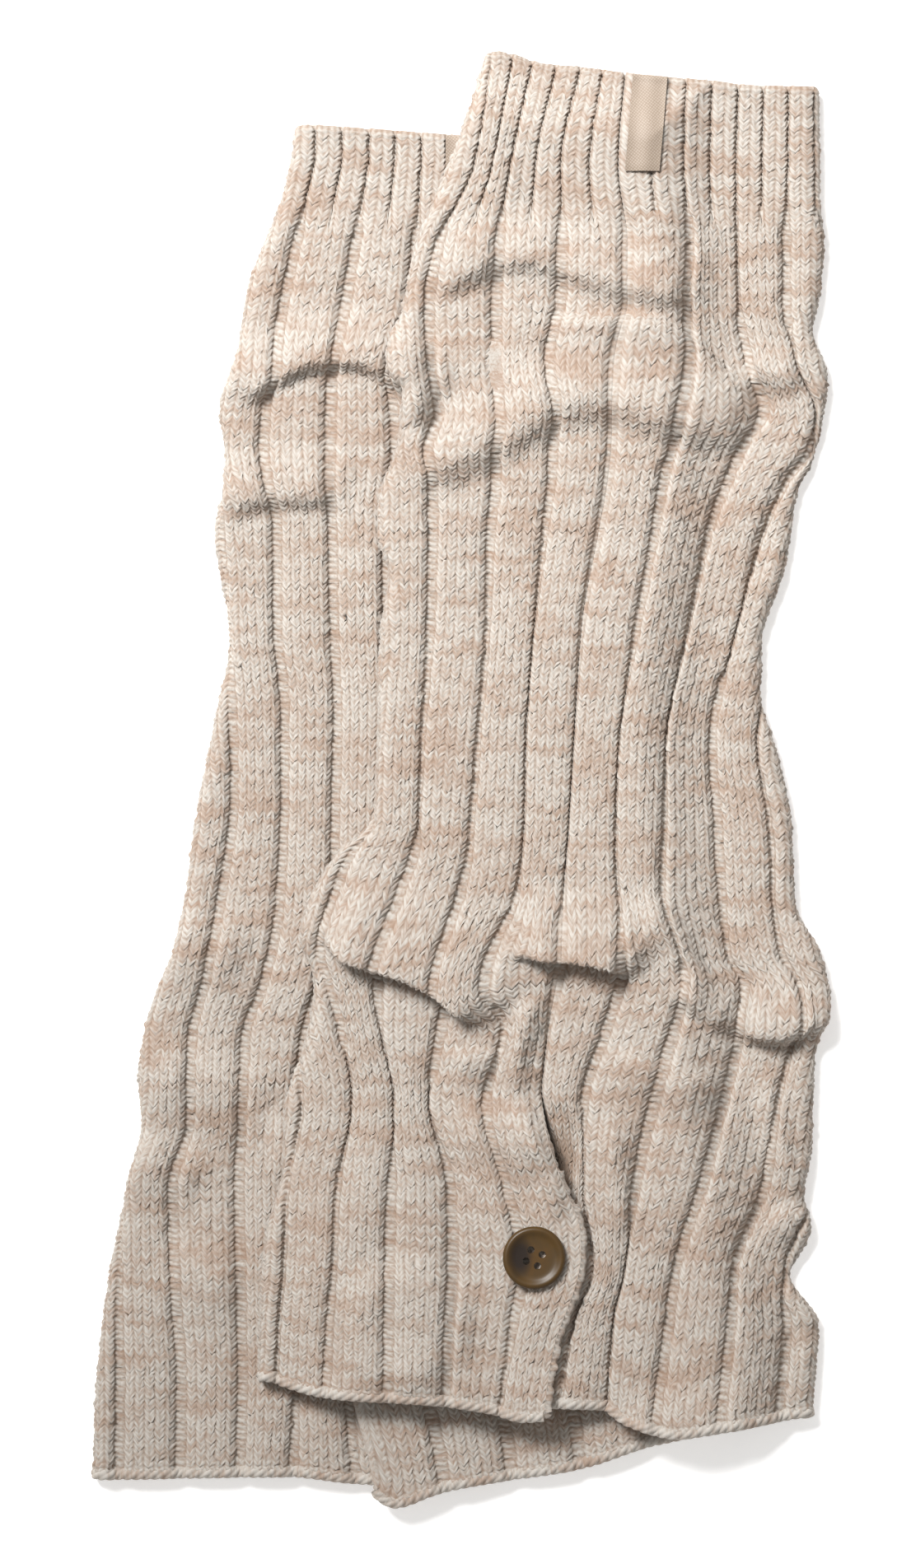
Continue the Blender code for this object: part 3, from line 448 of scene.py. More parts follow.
class Legwarmer:
    """The shape of one leg warmer, worked out from its tables."""

    def __init__(self, table):
        self.table = table
        self.left = curve_through(table["left"])
        self.right = curve_through(table["right"])
        self.cuff_edge = curve_through(table["cuff_edge"])
        self.hem = {"left": curve_through(table["hem_left"]),
                    "right": curve_through(table["hem_right"])}
        self.free_edge = curve_through(table["free_edge"])
        self.tucked_edge = curve_through(table["tucked_edge"])
        rows = np.array(table["grooves"], float)
        count = rows.shape[1] - 1
        self.grooves = [curve_through(rows[:, [0, k + 1]]) for k in range(count)]
        self.top = float(np.mean([y for _, y in table["cuff_edge"]]))
        self.end = float(np.mean([y for _, y in table["hem_left"] + table["hem_right"]]))

    def groove(self, number, y, side):
        """x of a groove; past the table's grooves the ribs go on at one width."""
        slit = self.table["slit_groove"]
        last = len(self.grooves) - 1
        if number == slit:
            edge = self.free_edge if side == self.table["lap"] else self.tucked_edge
            return np.where(y < self.table["slit_top"], edge(y), self.grooves[slit](y))
        if number < 0:
            return self.grooves[0](y) + SPARE_RIB * number
        if number > last:
            start = self.grooves[last](y)
            if last == slit:
                start = np.where(y < self.table["slit_top"], self.free_edge(y), start)
            reach = (self.right(y) + SIDE_TURN - start) / self.table["spare_ribs"]
            return start + np.maximum(SPARE_RIB, reach) * (number - last)
        return self.grooves[number](y)

    def cuff_share(self, y):
        """1 in the cuff, 0 in the leg."""
        return ease((y - LEG_HIGH) / (CUFF_LOW - LEG_HIGH))

    def open_slit(self, y):
        """0 above the slit, 1 where its lap has risen."""
        return ease((self.table["slit_top"] - y) / LAP_RISE_LENGTH)

    def unrolled_x(self, ribs, y, side):
        """x across the unrolled upper wall: each purl wale draws in, most in a narrow rib."""
        number = int(math.floor(ribs))
        share = ribs - number
        low = self.groove(number, y, side)
        if share == 0:
            return low
        pitch = self.groove(number + 1, y, side) - low
        half = 0.5 / WALES
        kept = half * (SHUT_PURL + (OPEN_PURL - SHUT_PURL) * self.opened(ribs, y, side))
        wide = drawn_in(share, 0.0, 1.0, half, kept)
        if share <= 0.5:
            narrow = drawn_in(share, 0.0, 0.5, half, half * SHUT_PURL)
        else:
            narrow = drawn_in(share, 0.5, 1.0, half, half * SHUT_PURL)
        cuff = self.cuff_share(y)
        return low + pitch * (wide * (1 - cuff) + narrow * cuff)

    def opened(self, ribs, y, side):
        """1 where the nearest groove is pulled open, 0 where it is shut."""
        nearest = int(math.floor(ribs + 0.5))
        pitch = (self.groove(nearest + 1, y, side) - self.groove(nearest - 1, y, side)) / 2
        shown = np.clip((pitch - SHUT_RIB) / (OPEN_RIB - SHUT_RIB), 0, 1)
        for groove, upper, lower in self.table["ladders"]:
            if groove == nearest:
                shown = np.maximum(shown, ease((upper - y) / LADDER_END)
                                   * ease((y - lower) / LADDER_END))
        return shown

    def bent_y(self, station, x, side):
        """y of a section, which follows the cuff's edge at one end and the hem at the other."""
        cuff = ease(1 - (self.top - station) / CUFF_REACH)
        hem = ease(1 - (station - self.end) / HEM_REACH)
        return (station + cuff * (self.cuff_edge(x) - self.top)
                + hem * (self.hem[side](x) - self.end))

    def folds(self, x, y):
        """Rise of the slouched folds, and how far they lean over in x and in y."""
        x, y = np.broadcast_arrays(x, y)
        rise, lean_x, lean_y = np.zeros(x.shape), np.zeros(x.shape), np.zeros(x.shape)
        for crest, high, above, below, over in self.table["folds"] + self.table["creases"]:
            corners = np.array(crest, float)
            reach = max(above, below)
            near = ((x > corners[:, 0].min() - reach) & (x < corners[:, 0].max() + reach)
                    & (y > corners[:, 1].min() - reach) & (y < corners[:, 1].max() + reach))
            if not near.any():
                continue
            along, across, way, length = beside(crest, x[near], y[near])
            width = np.where(across > 0, above, below)
            ridge = 0.5 + 0.5 * np.cos(np.pi * np.clip(across / width, -1, 1))
            fade = min(FOLD_FADE, FOLD_FADE_SHARE * length)
            ridge = ridge * ease(along / fade) * ease((length - along) / fade)
            rise[near] += high * ridge
            lean_x[near] += over * ridge * way[1]
            lean_y[near] -= over * ridge * way[0]
        wide, bend, long, drift = SOFT_WAVES
        soft = (SOFT_RISE * np.sin(x / wide + SOFT_BEND * np.sin(y / bend))
                * np.sin(y / long + x / drift))
        return rise + soft, lean_x, lean_y

    def lap_rise(self, ribs, y, side):
        """How far the lap stands up, or how far the hollow beside it sinks."""
        from_slit = abs(self.table["slit_groove"] - ribs)
        if side != self.table["lap"]:
            return -self.table["recess"][2] * self.hollow_share(ribs, y, side)
        if from_slit > LAP_RIBS:
            return np.zeros_like(y)
        near = float(ease((LAP_RIBS - from_slit) / LAP_SLOPE))
        return LAP_RISE * near * self.open_slit(y)

    def hollow_share(self, ribs, y, side):
        """1 in the hollow beside the lap, which narrows on its way down to the button."""
        upper, lower, depth = self.table["recess"]
        from_slit = abs(self.table["slit_groove"] - ribs)
        if side == self.table["lap"] or from_slit > HOLLOW_RIBS or depth == 0:
            return np.zeros_like(y)
        down = np.clip((upper - y) / (upper - lower), 0, 1)
        wide = HOLLOW_RIBS * (1 - HOLLOW_NARROWS * down ** 2)
        return (ease(HOLLOW_SIDE * (1 - from_slit / wide)) * ease(HOLLOW_TOP * down)
                * ease((y - lower) / HOLLOW_END))

    def rib_rise(self, ribs, y, side):
        """Height of the ribs above their grooves; a lap's free edge doesn't sink."""
        cuff = self.cuff_share(y)
        wales = (ribs - math.floor(ribs)) * WALES
        from_groove = np.full_like(y, min(wales, WALES - wales))
        near_slit = abs(self.table["slit_groove"] - ribs) * WALES
        if side == self.table["lap"] and near_slit < WALES / 2:
            from_groove = from_groove + (WALES / 2 - from_groove) * self.open_slit(y)
        opened = self.opened(ribs, y, side)
        wide = (rib_profile(from_groove, opened, SHOULDER)
                + RIB_CROWN * ease(from_groove / (WALES / 2))
                * (1 + ease((ROUND_BELOW - y) / ROUND_REACH)))
        narrow_wales = wales % (WALES / 2)
        narrow_wales = min(narrow_wales, WALES / 2 - narrow_wales)
        narrow = rib_profile(np.full_like(y, narrow_wales), 0.0, CUFF_SHOULDER)
        rise = (1 - cuff) * wide + cuff * CUFF_RISE * narrow
        if side != self.table["lap"] and near_slit <= WALES:
            rise = rise * (1 - COVERED * self.open_slit(y))
        return rise


def beside(crest, x, y):
    """For each place: how far along a crest and how far to its left it is, and the crest's way."""
    corners = np.array(crest, float)
    at = np.concatenate([[0], np.cumsum(np.hypot(*np.diff(corners, axis=0).T))])
    fine = np.linspace(0, at[-1], max(int(at[-1] / CREST_STEP), 2) + 1)
    line = np.stack([curve_through(list(zip(at, corners[:, k])))(fine) for k in (0, 1)], axis=1)
    step = np.diff(line, axis=0)
    long = np.hypot(*step.T)
    ways = step / long[:, None]
    turned = np.concatenate([ways[:1], (ways[1:] + ways[:-1]) / 2, ways[-1:]])
    start = np.concatenate([[0], np.cumsum(long)])
    best = np.full(x.shape, np.inf)
    along, across = np.zeros(x.shape), np.zeros(x.shape)
    way_x, way_y = np.ones(x.shape), np.zeros(x.shape)
    for k in range(len(step)):
        off_x, off_y = x - line[k, 0], y - line[k, 1]
        share = np.clip((off_x * ways[k, 0] + off_y * ways[k, 1]) / long[k], 0, 1)
        far = np.hypot(off_x - share * step[k, 0], off_y - share * step[k, 1])
        nearer = far < best
        side = np.sign(off_y * ways[k, 0] - off_x * ways[k, 1])
        best = np.where(nearer, far, best)
        along = np.where(nearer, start[k] + share * long[k], along)
        across = np.where(nearer, far * side, across)
        way_x = np.where(nearer, turned[k, 0] * (1 - share) + turned[k + 1, 0] * share, way_x)
        way_y = np.where(nearer, turned[k, 1] * (1 - share) + turned[k + 1, 1] * share, way_y)
    return along, across, (way_x, way_y), start[-1]


def drawn_in(share, start, stop, half, kept):
    """A place between two purl wales, after each has drawn in from half to kept."""
    if share < start + half:
        return start + (share - start) * kept / half
    if share > stop - half:
        return stop - (stop - share) * kept / half
    middle = (share - start - half) / (stop - start - 2 * half)
    return start + kept + middle * (stop - start - 2 * kept)


def rib_profile(wales, opened, shoulder):
    """Height of a rib at a distance from the middle of its groove, in wales.

    A shut groove is a deep slit; an open one has a flat floor, the purl wale."""
    floor = OPEN_FLOOR * opened
    climb = np.clip((wales - floor) / (shoulder - floor), 0, 1)
    sink = 1 - ease((wales - floor) / (SINK_WALES - floor))
    return (RIB_RISE * np.sin(math.pi / 2 * climb)
            - GROOVE_SINK * (1 - OPEN_LIFT * opened) * sink)


def stack_rise(x, y, lower):
    """Height of the top leg warmer's underside: on the under one, or down on the surface."""
    outside = np.maximum(x - lower.right(y), y - lower.cuff_edge(x))
    rise = STACK_RISE * (1 - ease((outside - STACK_START) / STACK_RAMP))
    for at_x, at_y, wide, long, high in BUMPS:
        distance = np.hypot((x - at_x) / wide, (y - at_y) / long)
        rise = rise + high * ease((1 - distance) / BUMP_SLOPE)
    return rise


def floor_rise(x, y):
    """The under leg warmer lies on the surface."""
    return np.zeros(np.broadcast(x, y).shape)


def wall_points(shape, base, places, station, side):
    """Outer and inner points of the knit, and how much its stitches show, for many columns.

    places are counted in ribs; station has a row for each row of points and a column for each
    place."""
    y = station.copy()
    # Each round brings y nearer to where the bent section has this x
    for _ in range(3):
        unrolled = np.stack([shape.unrolled_x(ribs, y[:, k], side)
                             for k, ribs in enumerate(places)], axis=1)
        flat_x = np.clip(unrolled, shape.left(y) + SIDE_RADIUS, shape.right(y) - SIDE_RADIUS)
        past = unrolled - flat_x
        turn = np.clip(np.abs(past) / SIDE_ARC, 0, math.pi)
        beyond = np.maximum(np.abs(past) - SIDE_ARC * math.pi, 0)
        way = np.sign(past)
        y = shape.bent_y(station, flat_x - way * beyond, side)
    under = ease(2 * turn / math.pi - 1)
    for to_edge, inward in ((shape.top - station, -1), (station - shape.end, 1)):
        y = y + inward * UNDERSIDE_INSET * under * ease(
            (UNDERSIDE_REACH - to_edge) / UNDERSIDE_REACH)

    rise, lean_x, lean_y = shape.folds(flat_x, y)
    lap = np.stack([shape.lap_rise(r, y[:, k], side) for k, r in enumerate(places)], axis=1)
    rib = np.stack([shape.rib_rise(r, y[:, k], side) for k, r in enumerate(places)], axis=1)
    low = base(flat_x, y)
    high = np.maximum(low + 2 * WALL + INNER_GAP + rise + lap, low + 2 * WALL)
    middle, half = (low + high) / 2, (high - low) / 2
    fade = 1 - ease(turn / (RIB_FADE * math.pi))
    relief = rib * fade

    def place(offset):
        """The points round the side, pushed out of the cloth by the offset."""
        return np.stack([
            flat_x + lean_x * fade + way * ((SIDE_RADIUS + offset) * np.sin(turn) - beyond),
            y + lean_y * fade,
            middle + (half + offset) * np.cos(turn)], axis=2)

    shown = 1 - ease((turn / math.pi - STITCH_SHOWN) / STITCH_FADE)
    return place(relief), place(np.full_like(y, -WALL)), shown


class KnitGrid:
    """Rows and columns of points over a whole leg warmer, from the slit all round to the slit."""

    def __init__(self, shape, base):
        self.shape = shape
        self.courses = int(round((shape.top - shape.end) / COURSE))
        self.rows = ROWS * self.courses + 1
        self.course = np.arange(self.rows) / ROWS
        slit, step = shape.table["slit_groove"], 1 / (WALES * COLUMNS)
        random = np.random.default_rng(shape.table["seed"])
        right = self.knit_side(
            "right", np.arange(slit, shape.table["last_rib"] + step / 2, step), base, random)
        left = self.knit_side("left", np.arange(FIRST_RIB, slit + step / 2, step), base, random)
        self.right_count = right[0].shape[1]
        under = self.underside(base, right, left)
        self.outer, self.inner, self.heights = (
            np.concatenate(layer, axis=1) for layer in zip(right[:3], under[:3], left[:3]))
        self.wales = np.concatenate([right[3], under[3], left[3] + self.period])
        out = unit(self.outer[-1] - self.outer[-1 - 2 * ROWS])
        self.hem_line = (self.outer[-1] + CORD_OUT * out
                         - CORD_SUNK * (self.outer[-1] - self.inner[-1]))
        self.raise_stitches()
        self.roll_edges()

    def knit_side(self, side, places, base, random):
        """Outer and inner points, stitch heights and wales of the knit at one side of the slit."""
        shape, slit = self.shape, self.shape.table["slit_groove"]
        station = np.linspace(shape.top, shape.end, self.rows)
        to_end = np.minimum(shape.top - station, station - shape.end)
        slack = np.clip(to_end / (2 * COURSE), 0, 1)
        phase = np.arange(self.rows) % ROWS
        columns, stitches = [], []
        for ribs in places:
            quarter = int(round(ribs * WALES * COLUMNS))
            wale, kind = divmod(quarter + COLUMNS // 2, COLUMNS)
            offset = kind / COLUMNS - 0.5
            purl = self.purl_share(wale, station)
            if abs(ribs - slit) * WALES < 1:
                purl = purl * (1 - shape.open_slit(station))
            drop = LEG_DROP * COURSE * ((1 - purl) * (2 * abs(offset) - 0.5) + purl * 0.5)
            waver = WAVER * COURSE * np.sin(station / WAVER_LONG + WAVER_SHIFT * wale)
            columns.append(station + (drop + waver) * slack)
            knit = np.array(KNIT_STITCH)[phase, kind]
            loop = np.array(PURL_STITCH)[phase, kind]
            uneven = np.repeat(random.normal(0, STITCH_UNEVEN, self.courses + 1), ROWS)
            # A stitch in the hollow beside the lap lies lower, and its lower height also paints
            # shade on it
            stitches.append((1 - purl) * knit + purl * loop
                            + uneven[:self.rows] * (phase > 0)
                            - HOLLOW_SHADE * shape.hollow_share(ribs, station, side))
        out, into, shown = wall_points(shape, base, places, np.stack(columns, axis=1), side)
        stray = random.normal(0, STRAY, (self.courses + 1, len(places) // 2 + 1, 2))
        stray = stray.repeat(ROWS, axis=0)[:self.rows].repeat(2, axis=1)[:, :len(places)]
        calm = np.minimum(1.0, np.abs(places - slit) * WALES)
        loose = 1 + LOOSE * ease(1 - (station - shape.end) / LOOSE_REACH)[:, None]
        out[:, :, :2] += stray * (shown * slack[:, None] * calm * loose)[:, :, None]
        heights = np.stack(stitches, axis=1) * shown * (EDGE_RELIEF + (1 - EDGE_RELIEF) * calm)
        return out, into, heights, places * WALES

    def purl_share(self, wale, station):
        """1 where a wale is purl: in every groove, and in the cuff between them too."""
        if wale % WALES == 0:
            return np.ones_like(station)
        if wale % WALES == WALES // 2:
            return ease((station - (LEG_HIGH + CUFF_LOW) / 2) / COURSE)
        return np.zeros_like(station)

    def underside(self, base, right, left):
        """Plain columns under the leg warmer, between where its two sides turn under."""
        start, stop = right[0][:, -1], left[0][:, 0]
        across = float(np.mean(start[:, 0] - stop[:, 0]))
        turned = right[3][-1] - left[3][0]
        self.period = math.ceil((turned + across / WALE) / WALES) * WALES
        share = (np.arange(UNDERSIDE_COLUMNS) + 1) / (UNDERSIDE_COLUMNS + 1)
        x = start[:, :1] * (1 - share) + stop[:, :1] * share
        y = start[:, 1:2] * (1 - share) + stop[:, 1:2] * share
        low = base(x, y)
        wales = right[3][-1] * (1 - share) + (left[3][0] + self.period) * share
        return (np.stack([x, y, low], axis=2), np.stack([x, y, low + WALL], axis=2),
                np.zeros_like(x), wales)

    def normals(self):
        """Unit normals of the outer surface, read over a stitch each way."""
        points = self.outer
        rows, columns = points.shape[:2]
        row, column = np.arange(rows), np.arange(columns)
        down = points[np.minimum(row + ROWS, rows - 1)] - points[np.maximum(row - ROWS, 0)]
        over = (points[:, np.minimum(column + 2, columns - 1)]
                - points[:, np.maximum(column - 2, 0)])
        return unit(np.cross(down, over))

    def raise_stitches(self):
        """Lifts each point by its stitch's height."""
        self.outer = self.outer + self.normals() * self.heights[:, :, None]

    def roll_edges(self):
        """The knit turns over at the cuff's edge, the hem and both sides of the slit."""
        for axis in (0, 1):
            order = (0, 1, 2) if axis == 0 else (1, 0, 2)
            points, normal = self.outer.transpose(order), self.normals().transpose(order)
            radius = EDGE_RADIUS
            if axis == 1:
                y = points[0][:, 1]
                radius = EDGE_RADIUS * np.maximum(self.shape.open_slit(y), EDGE_LEAST)[:, None]
            before, after = [], []
            for turn in EDGE_TURNS:
                angle = math.radians(turn)
                for edge, inward, group in ((0, EDGE_READ, before), (-1, -1 - EDGE_READ, after)):
                    out = unit(points[edge] - points[inward])
                    group.append(points[edge] + radius * out * math.sin(angle)
                                 - radius * normal[edge] * (1 - math.cos(angle)))
            self.outer = np.concatenate([before[::-1], points, after]).transpose(order)
            extra = [(0, 0), (0, 0)]
            extra[axis] = (len(EDGE_TURNS), len(EDGE_TURNS))
            self.inner = np.pad(self.inner, extra + [(0, 0)], "edge")
            self.heights = np.pad(self.heights, extra, "edge")
        self.course, self.wales = run_on(self.course), run_on(self.wales)


def unit(vectors):
    """The vectors of the last axis, each one long."""
    return vectors / np.maximum(np.linalg.norm(vectors, axis=-1, keepdims=True), 1e-9)


def run_on(counts):
    """Counts of stitches that go on over the turns of an edge, at both ends."""
    past = EDGE_STITCH * np.arange(1, len(EDGE_TURNS) + 1)
    return np.concatenate([counts[0] - past[::-1], counts, counts[-1] + past])


def knit_band(name, grid, first_row, last_row, columns):
    """A closed band of knit wall: fine stitches outside, a plain wall inside."""
    rows = np.arange(first_row, last_row + 1)
    outer = grid.outer[np.ix_(rows, columns)]
    in_rows = thinned(len(rows), ROWS * 2)
    in_columns = thinned(len(columns), COLUMNS)
    inner = grid.inner[np.ix_(rows[in_rows], columns[in_columns])]
    count = len(rows) * len(columns)
    out_index = np.arange(count).reshape(len(rows), len(columns))
    in_index = count + np.arange(len(in_rows) * len(in_columns)).reshape(
        len(in_rows), len(in_columns))

    faces = quads(out_index)
    faces += [face[::-1] for face in quads(in_index)]
    plain = len(faces)
    for out_line, in_line, picks in (
            (out_index[0], in_index[0], in_columns), (out_index[-1], in_index[-1], in_columns),
            (out_index[:, 0], in_index[:, 0], in_rows),
            (out_index[:, -1], in_index[:, -1], in_rows)):
        for k in range(len(picks) - 1):
            edge = list(out_line[picks[k]:picks[k + 1] + 1])
            faces.append(edge + [in_line[k + 1], in_line[k]])

    points = np.concatenate([outer.reshape(-1, 3), inner.reshape(-1, 3)]) * MM
    mesh = bpy.data.meshes.new(name)
    mesh.from_pydata(points, [], faces)
    face_outward(mesh)
    flags = np.ones(len(mesh.polygons), bool)
    flags[plain:] = False
    mesh.polygons.foreach_set("use_smooth", flags)

    stitch = np.stack(np.broadcast_arrays(grid.wales[columns][None, :],
                                          grid.course[rows][:, None]), axis=2)
    heights = grid.heights[np.ix_(rows, columns)]
    relief = np.stack([np.zeros_like(heights), heights], axis=2)
    write_yarn(mesh, *(np.concatenate([values.reshape(-1, 2),
                                       values[np.ix_(in_rows, in_columns)].reshape(-1, 2)])
                       for values in (stitch, relief)))
    return place_mesh(name, mesh)


def thinned(count, step):
    """Every so many indices of a row of points, with the first and the last."""
    picks = list(range(0, count - step // 2, step))
    return np.array(picks + [count - 1])


def quads(index):
    """Faces between the rows and columns of a grid of point numbers."""
    corners = np.stack([index[:-1, :-1], index[:-1, 1:], index[1:, 1:], index[1:, :-1]], axis=2)
    return corners.reshape(-1, 4).tolist()


def face_outward(mesh):
    """Turns the faces of a closed mesh outward."""
    fix = bmesh.new()
    fix.from_mesh(mesh)
    bmesh.ops.recalc_face_normals(fix, faces=fix.faces[:])
    fix.to_mesh(mesh)
    fix.free()


def write_yarn(mesh, stitch, relief):
    """Gives each point what the yarn's material reads: its wale and course, and its height, from
    which the material paints shade in the gaps.
    """
    corners = np.zeros(len(mesh.loops), np.int32)
    mesh.loops.foreach_get("vertex_index", corners)
    for layer, values in (("stitch", stitch), ("relief", relief)):
        mesh.uv_layers.new(name=layer).data.foreach_set(
            "uv", values[corners].astype(np.float32).ravel())


def into_scene(name, data):
    """A new object of the data, in the scene."""
    thing = bpy.data.objects.new(name, data)
    bpy.context.scene.collection.objects.link(thing)
    return thing


def place_mesh(name, mesh):
    """A piece of the pair, moved so that the middle of the pair is at the origin."""
    thing = into_scene(name, mesh)
    thing.location = Vector((*CENTRING, 0.0)) * MM
    return thing


def twisted_cord(name, line):
    """A cord of twisted strands along a line of points."""
    along = np.concatenate([[0], np.cumsum(np.linalg.norm(np.diff(line, axis=0), axis=1))])
    at = np.linspace(0, along[-1], int(along[-1] / CORD_STEP))
    path = np.stack([np.interp(at, along, line[:, k]) for k in range(3)], axis=1)
    row = np.arange(len(path))
    ahead = unit(path[np.minimum(row + CORD_READ, len(path) - 1)]
                 - path[np.maximum(row - CORD_READ, 0)])
    side = unit(np.cross(ahead, (0.0, 0.0, 1.0)))
    up = np.cross(side, ahead)
    angle = np.arange(CORD_POINTS) * math.tau / CORD_POINTS
    twist = CORD_STRANDS * angle[None, :] - math.tau * at[:, None] / CORD_PITCH
    strand = np.abs(np.sin(twist / 2))
    radius = CORD_RADIUS * (1 - 2 * CORD_RELIEF + 2 * CORD_RELIEF * strand)
    points = (path[:, None, :]
              + radius[:, :, None] * (np.cos(angle)[None, :, None] * side[:, None, :]
                                      + np.sin(angle)[None, :, None] * up[:, None, :]))
    index = np.arange(len(path) * CORD_POINTS).reshape(len(path), CORD_POINTS)
    index = np.concatenate([index, index[:, :1]], axis=1)
    faces = quads(index) + [list(index[0, :-1]), list(index[-1, :-1])[::-1]]
    mesh = bpy.data.meshes.new(name)
    mesh.from_pydata(points.reshape(-1, 3) * MM, [], faces)
    mesh.polygons.foreach_set("use_smooth", np.ones(len(faces), bool))
    stitch = np.stack([np.repeat(at / WALE, CORD_POINTS),
                       np.tile(angle / math.tau, len(path))], axis=1)
    # Painted shade for the gaps between strands, which the material reads as a height
    relief = np.stack([np.zeros(strand.size), CORD_SHADE * (strand.ravel() - CORD_GAP)], axis=1)
    write_yarn(mesh, stitch, relief)
    return place_mesh(name, mesh)


def outer_height(shape, base, x, y, side):
    """Top of the ribs at a place on the upper wall."""
    x, y = np.array([float(x)]), np.array([float(y)])
    rise = shape.folds(x, y)[0]
    lap = shape.lap_rise(shape.table["slit_groove"], y, side) if side else 0.0
    return float((base(x, y) + 2 * WALL + INNER_GAP + rise + RIB_RISE + lap)[0])


def turned_button(name, shape, base):
    """A turned button: a raised rim with a fine step, a dished middle and four holes."""
    x, y = shape.table["button"]
    reach = BUTTON_WIDTH / 2
    around = [(x + reach * dx, y + reach * dy) for dx in (-0.8, 0, 0.8) for dy in (-0.8, 0, 0.8)]
    under = max(outer_height(shape, base, *p, shape.table["lap"]) for p in around) + SEAM_GAP
    floor = BUTTON_THICK - BUTTON_DISH
    # Distance from the middle and height, from the back round the rim into the dish
    profile = [(0.0, 0.0), (reach - 2.4, 0.0), (reach - 1.2, 0.35), (reach - 0.5, 0.9),
               (reach - 0.12, 1.3), (reach, 1.7), (reach - 0.02, 2.0), (reach - 0.16, 2.35),
               (reach - 0.45, BUTTON_THICK - 0.3), (reach - 0.8, BUTTON_THICK - 0.06),
               (reach - 1.15, BUTTON_THICK), (reach - 1.5, BUTTON_THICK - 0.04),
               (reach - BUTTON_RIM, BUTTON_THICK - 0.25),
               (reach - BUTTON_RIM - 0.6, floor + 0.28), (reach - BUTTON_RIM - 1.3, floor + 0.1),
               (reach - BUTTON_RIM - 2.2, floor + 0.02), (3.6, floor), (0.0, floor)]
    mesh = bmesh.new()
    verts = [mesh.verts.new((r * MM, 0, z * MM)) for r, z in profile]
    edges = [mesh.edges.new(pair) for pair in zip(verts, verts[1:])]
    bmesh.ops.spin(mesh, geom=verts + edges, cent=(0, 0, 0), axis=(0, 0, 1),
                   angle=math.tau, steps=BUTTON_STEPS, use_merge=True)
    bmesh.ops.remove_doubles(mesh, verts=mesh.verts[:], dist=0.01 * MM)
    bmesh.ops.recalc_face_normals(mesh, faces=mesh.faces[:])
    data = bpy.data.meshes.new(name)
    mesh.to_mesh(data)
    mesh.free()
    button = place_mesh(name, data)
    button.location += Vector((x, y, under)) * MM
    cutters = []
    for quarter in range(4):
        angle = math.radians(HOLE_TURN + 90 * quarter)
        hole = bmesh.new()
        bmesh.ops.create_cone(hole, cap_ends=True, segments=24, radius1=HOLE_WIDTH / 2 * MM,
                              radius2=HOLE_WIDTH / 2 * MM, depth=3 * BUTTON_THICK * MM)
        data = bpy.data.meshes.new("hole")
        hole.to_mesh(data)
        hole.free()
        tool = into_scene("hole", data)
        tool.location = button.location + Vector((math.cos(angle), math.sin(angle), 0)) * (
            HOLE_RING * MM)
        cut = button.modifiers.new("hole", "BOOLEAN")
        cut.operation = "DIFFERENCE"
        cut.object = tool
        cutters.append(tool)
    bpy.context.view_layer.update()
    button.data = bpy.data.meshes.new_from_object(
        button.evaluated_get(bpy.context.evaluated_depsgraph_get()))
    button.data.name = name
    button.modifiers.clear()
    for tool in cutters:
        bpy.data.objects.remove(tool)
    button.data.shade_smooth()
    button.data.set_sharp_from_angle(angle=math.radians(40))
    return button


def woven_label(name, shape, base):
    """A woven label on the cuff's ribs, turned down over the cuff's edge."""
    start_x, low_y, lean = shape.table["label"]
    upper, lower = [], []
    for row in range(LABEL_ROWS + LABEL_BEND_ROWS):
        share = min(row / (LABEL_ROWS - 1), 1.0)
        over = math.radians(min(max(row - LABEL_ROWS + 1, 0) * LABEL_BEND, 90))
        hang = LABEL_HANG if row == LABEL_ROWS + LABEL_BEND_ROWS - 1 else 0.0
        upper.append([])
        lower.append([])
        for column in range(LABEL_COLUMNS):
            across = column / (LABEL_COLUMNS - 1)
            x = start_x + LABEL_WIDTH * across + lean * (1 - share)
            edge = float(shape.cuff_edge(x)) - LABEL_INSET
            y = low_y + (edge - low_y) * share
            crest = outer_height(shape, base, x, min(y, edge - LABEL_READ_INSET), None) + LABEL_GAP
            sag = LABEL_SAG * math.cos(
                math.tau * (across * LABEL_WIDTH / LABEL_SAG_WIDE + LABEL_SAG_START))
            sag += LABEL_RIPPLE * math.sin(y / LABEL_RIPPLE_LONG + LABEL_RIPPLE_SKEW * across)
            crest += sag - LABEL_DIP * (1 - min(1.0, share * LABEL_ROWS / LABEL_DIP_ROWS))
            for grid, out in ((upper, LABEL_THICK), (lower, 0.0)):
                radius = LABEL_THICK * LABEL_RADIUS + out
                grid[-1].append((x, y + radius * math.sin(over),
                                 crest + out - radius * (1 - math.cos(over)) - hang))
    mesh = bpy.data.meshes.new(name)
    mesh_of_sheet(mesh, np.array(upper), np.array(lower))
    return place_mesh(name, mesh)


def mesh_of_sheet(mesh, upper, lower):
    """A closed sheet between two equal grids of points."""
    rows, columns = upper.shape[:2]
    over = np.arange(rows * columns).reshape(rows, columns)
    under = over + rows * columns
    faces = quads(over) + [face[::-1] for face in quads(under)]
    for k in (0, -1):
        faces += quads(np.stack([over[:, k], under[:, k]], axis=1))
        faces += quads(np.stack([over[k], under[k]], axis=1))
    mesh.from_pydata(np.concatenate([upper.reshape(-1, 3), lower.reshape(-1, 3)]) * MM, [], faces)
    face_outward(mesh)
    mesh.shade_smooth()
    mesh.set_sharp_from_angle(angle=math.radians(50))


def linear(code):
    """An sRGB hex colour as the linear colour that a shader takes."""
    values = [int(code[i:i + 2], 16) / 255 for i in (1, 3, 5)]
    return (*[v / 12.92 if v <= 0.04045 else ((v + 0.055) / 1.055) ** 2.4 for v in values], 1.0)


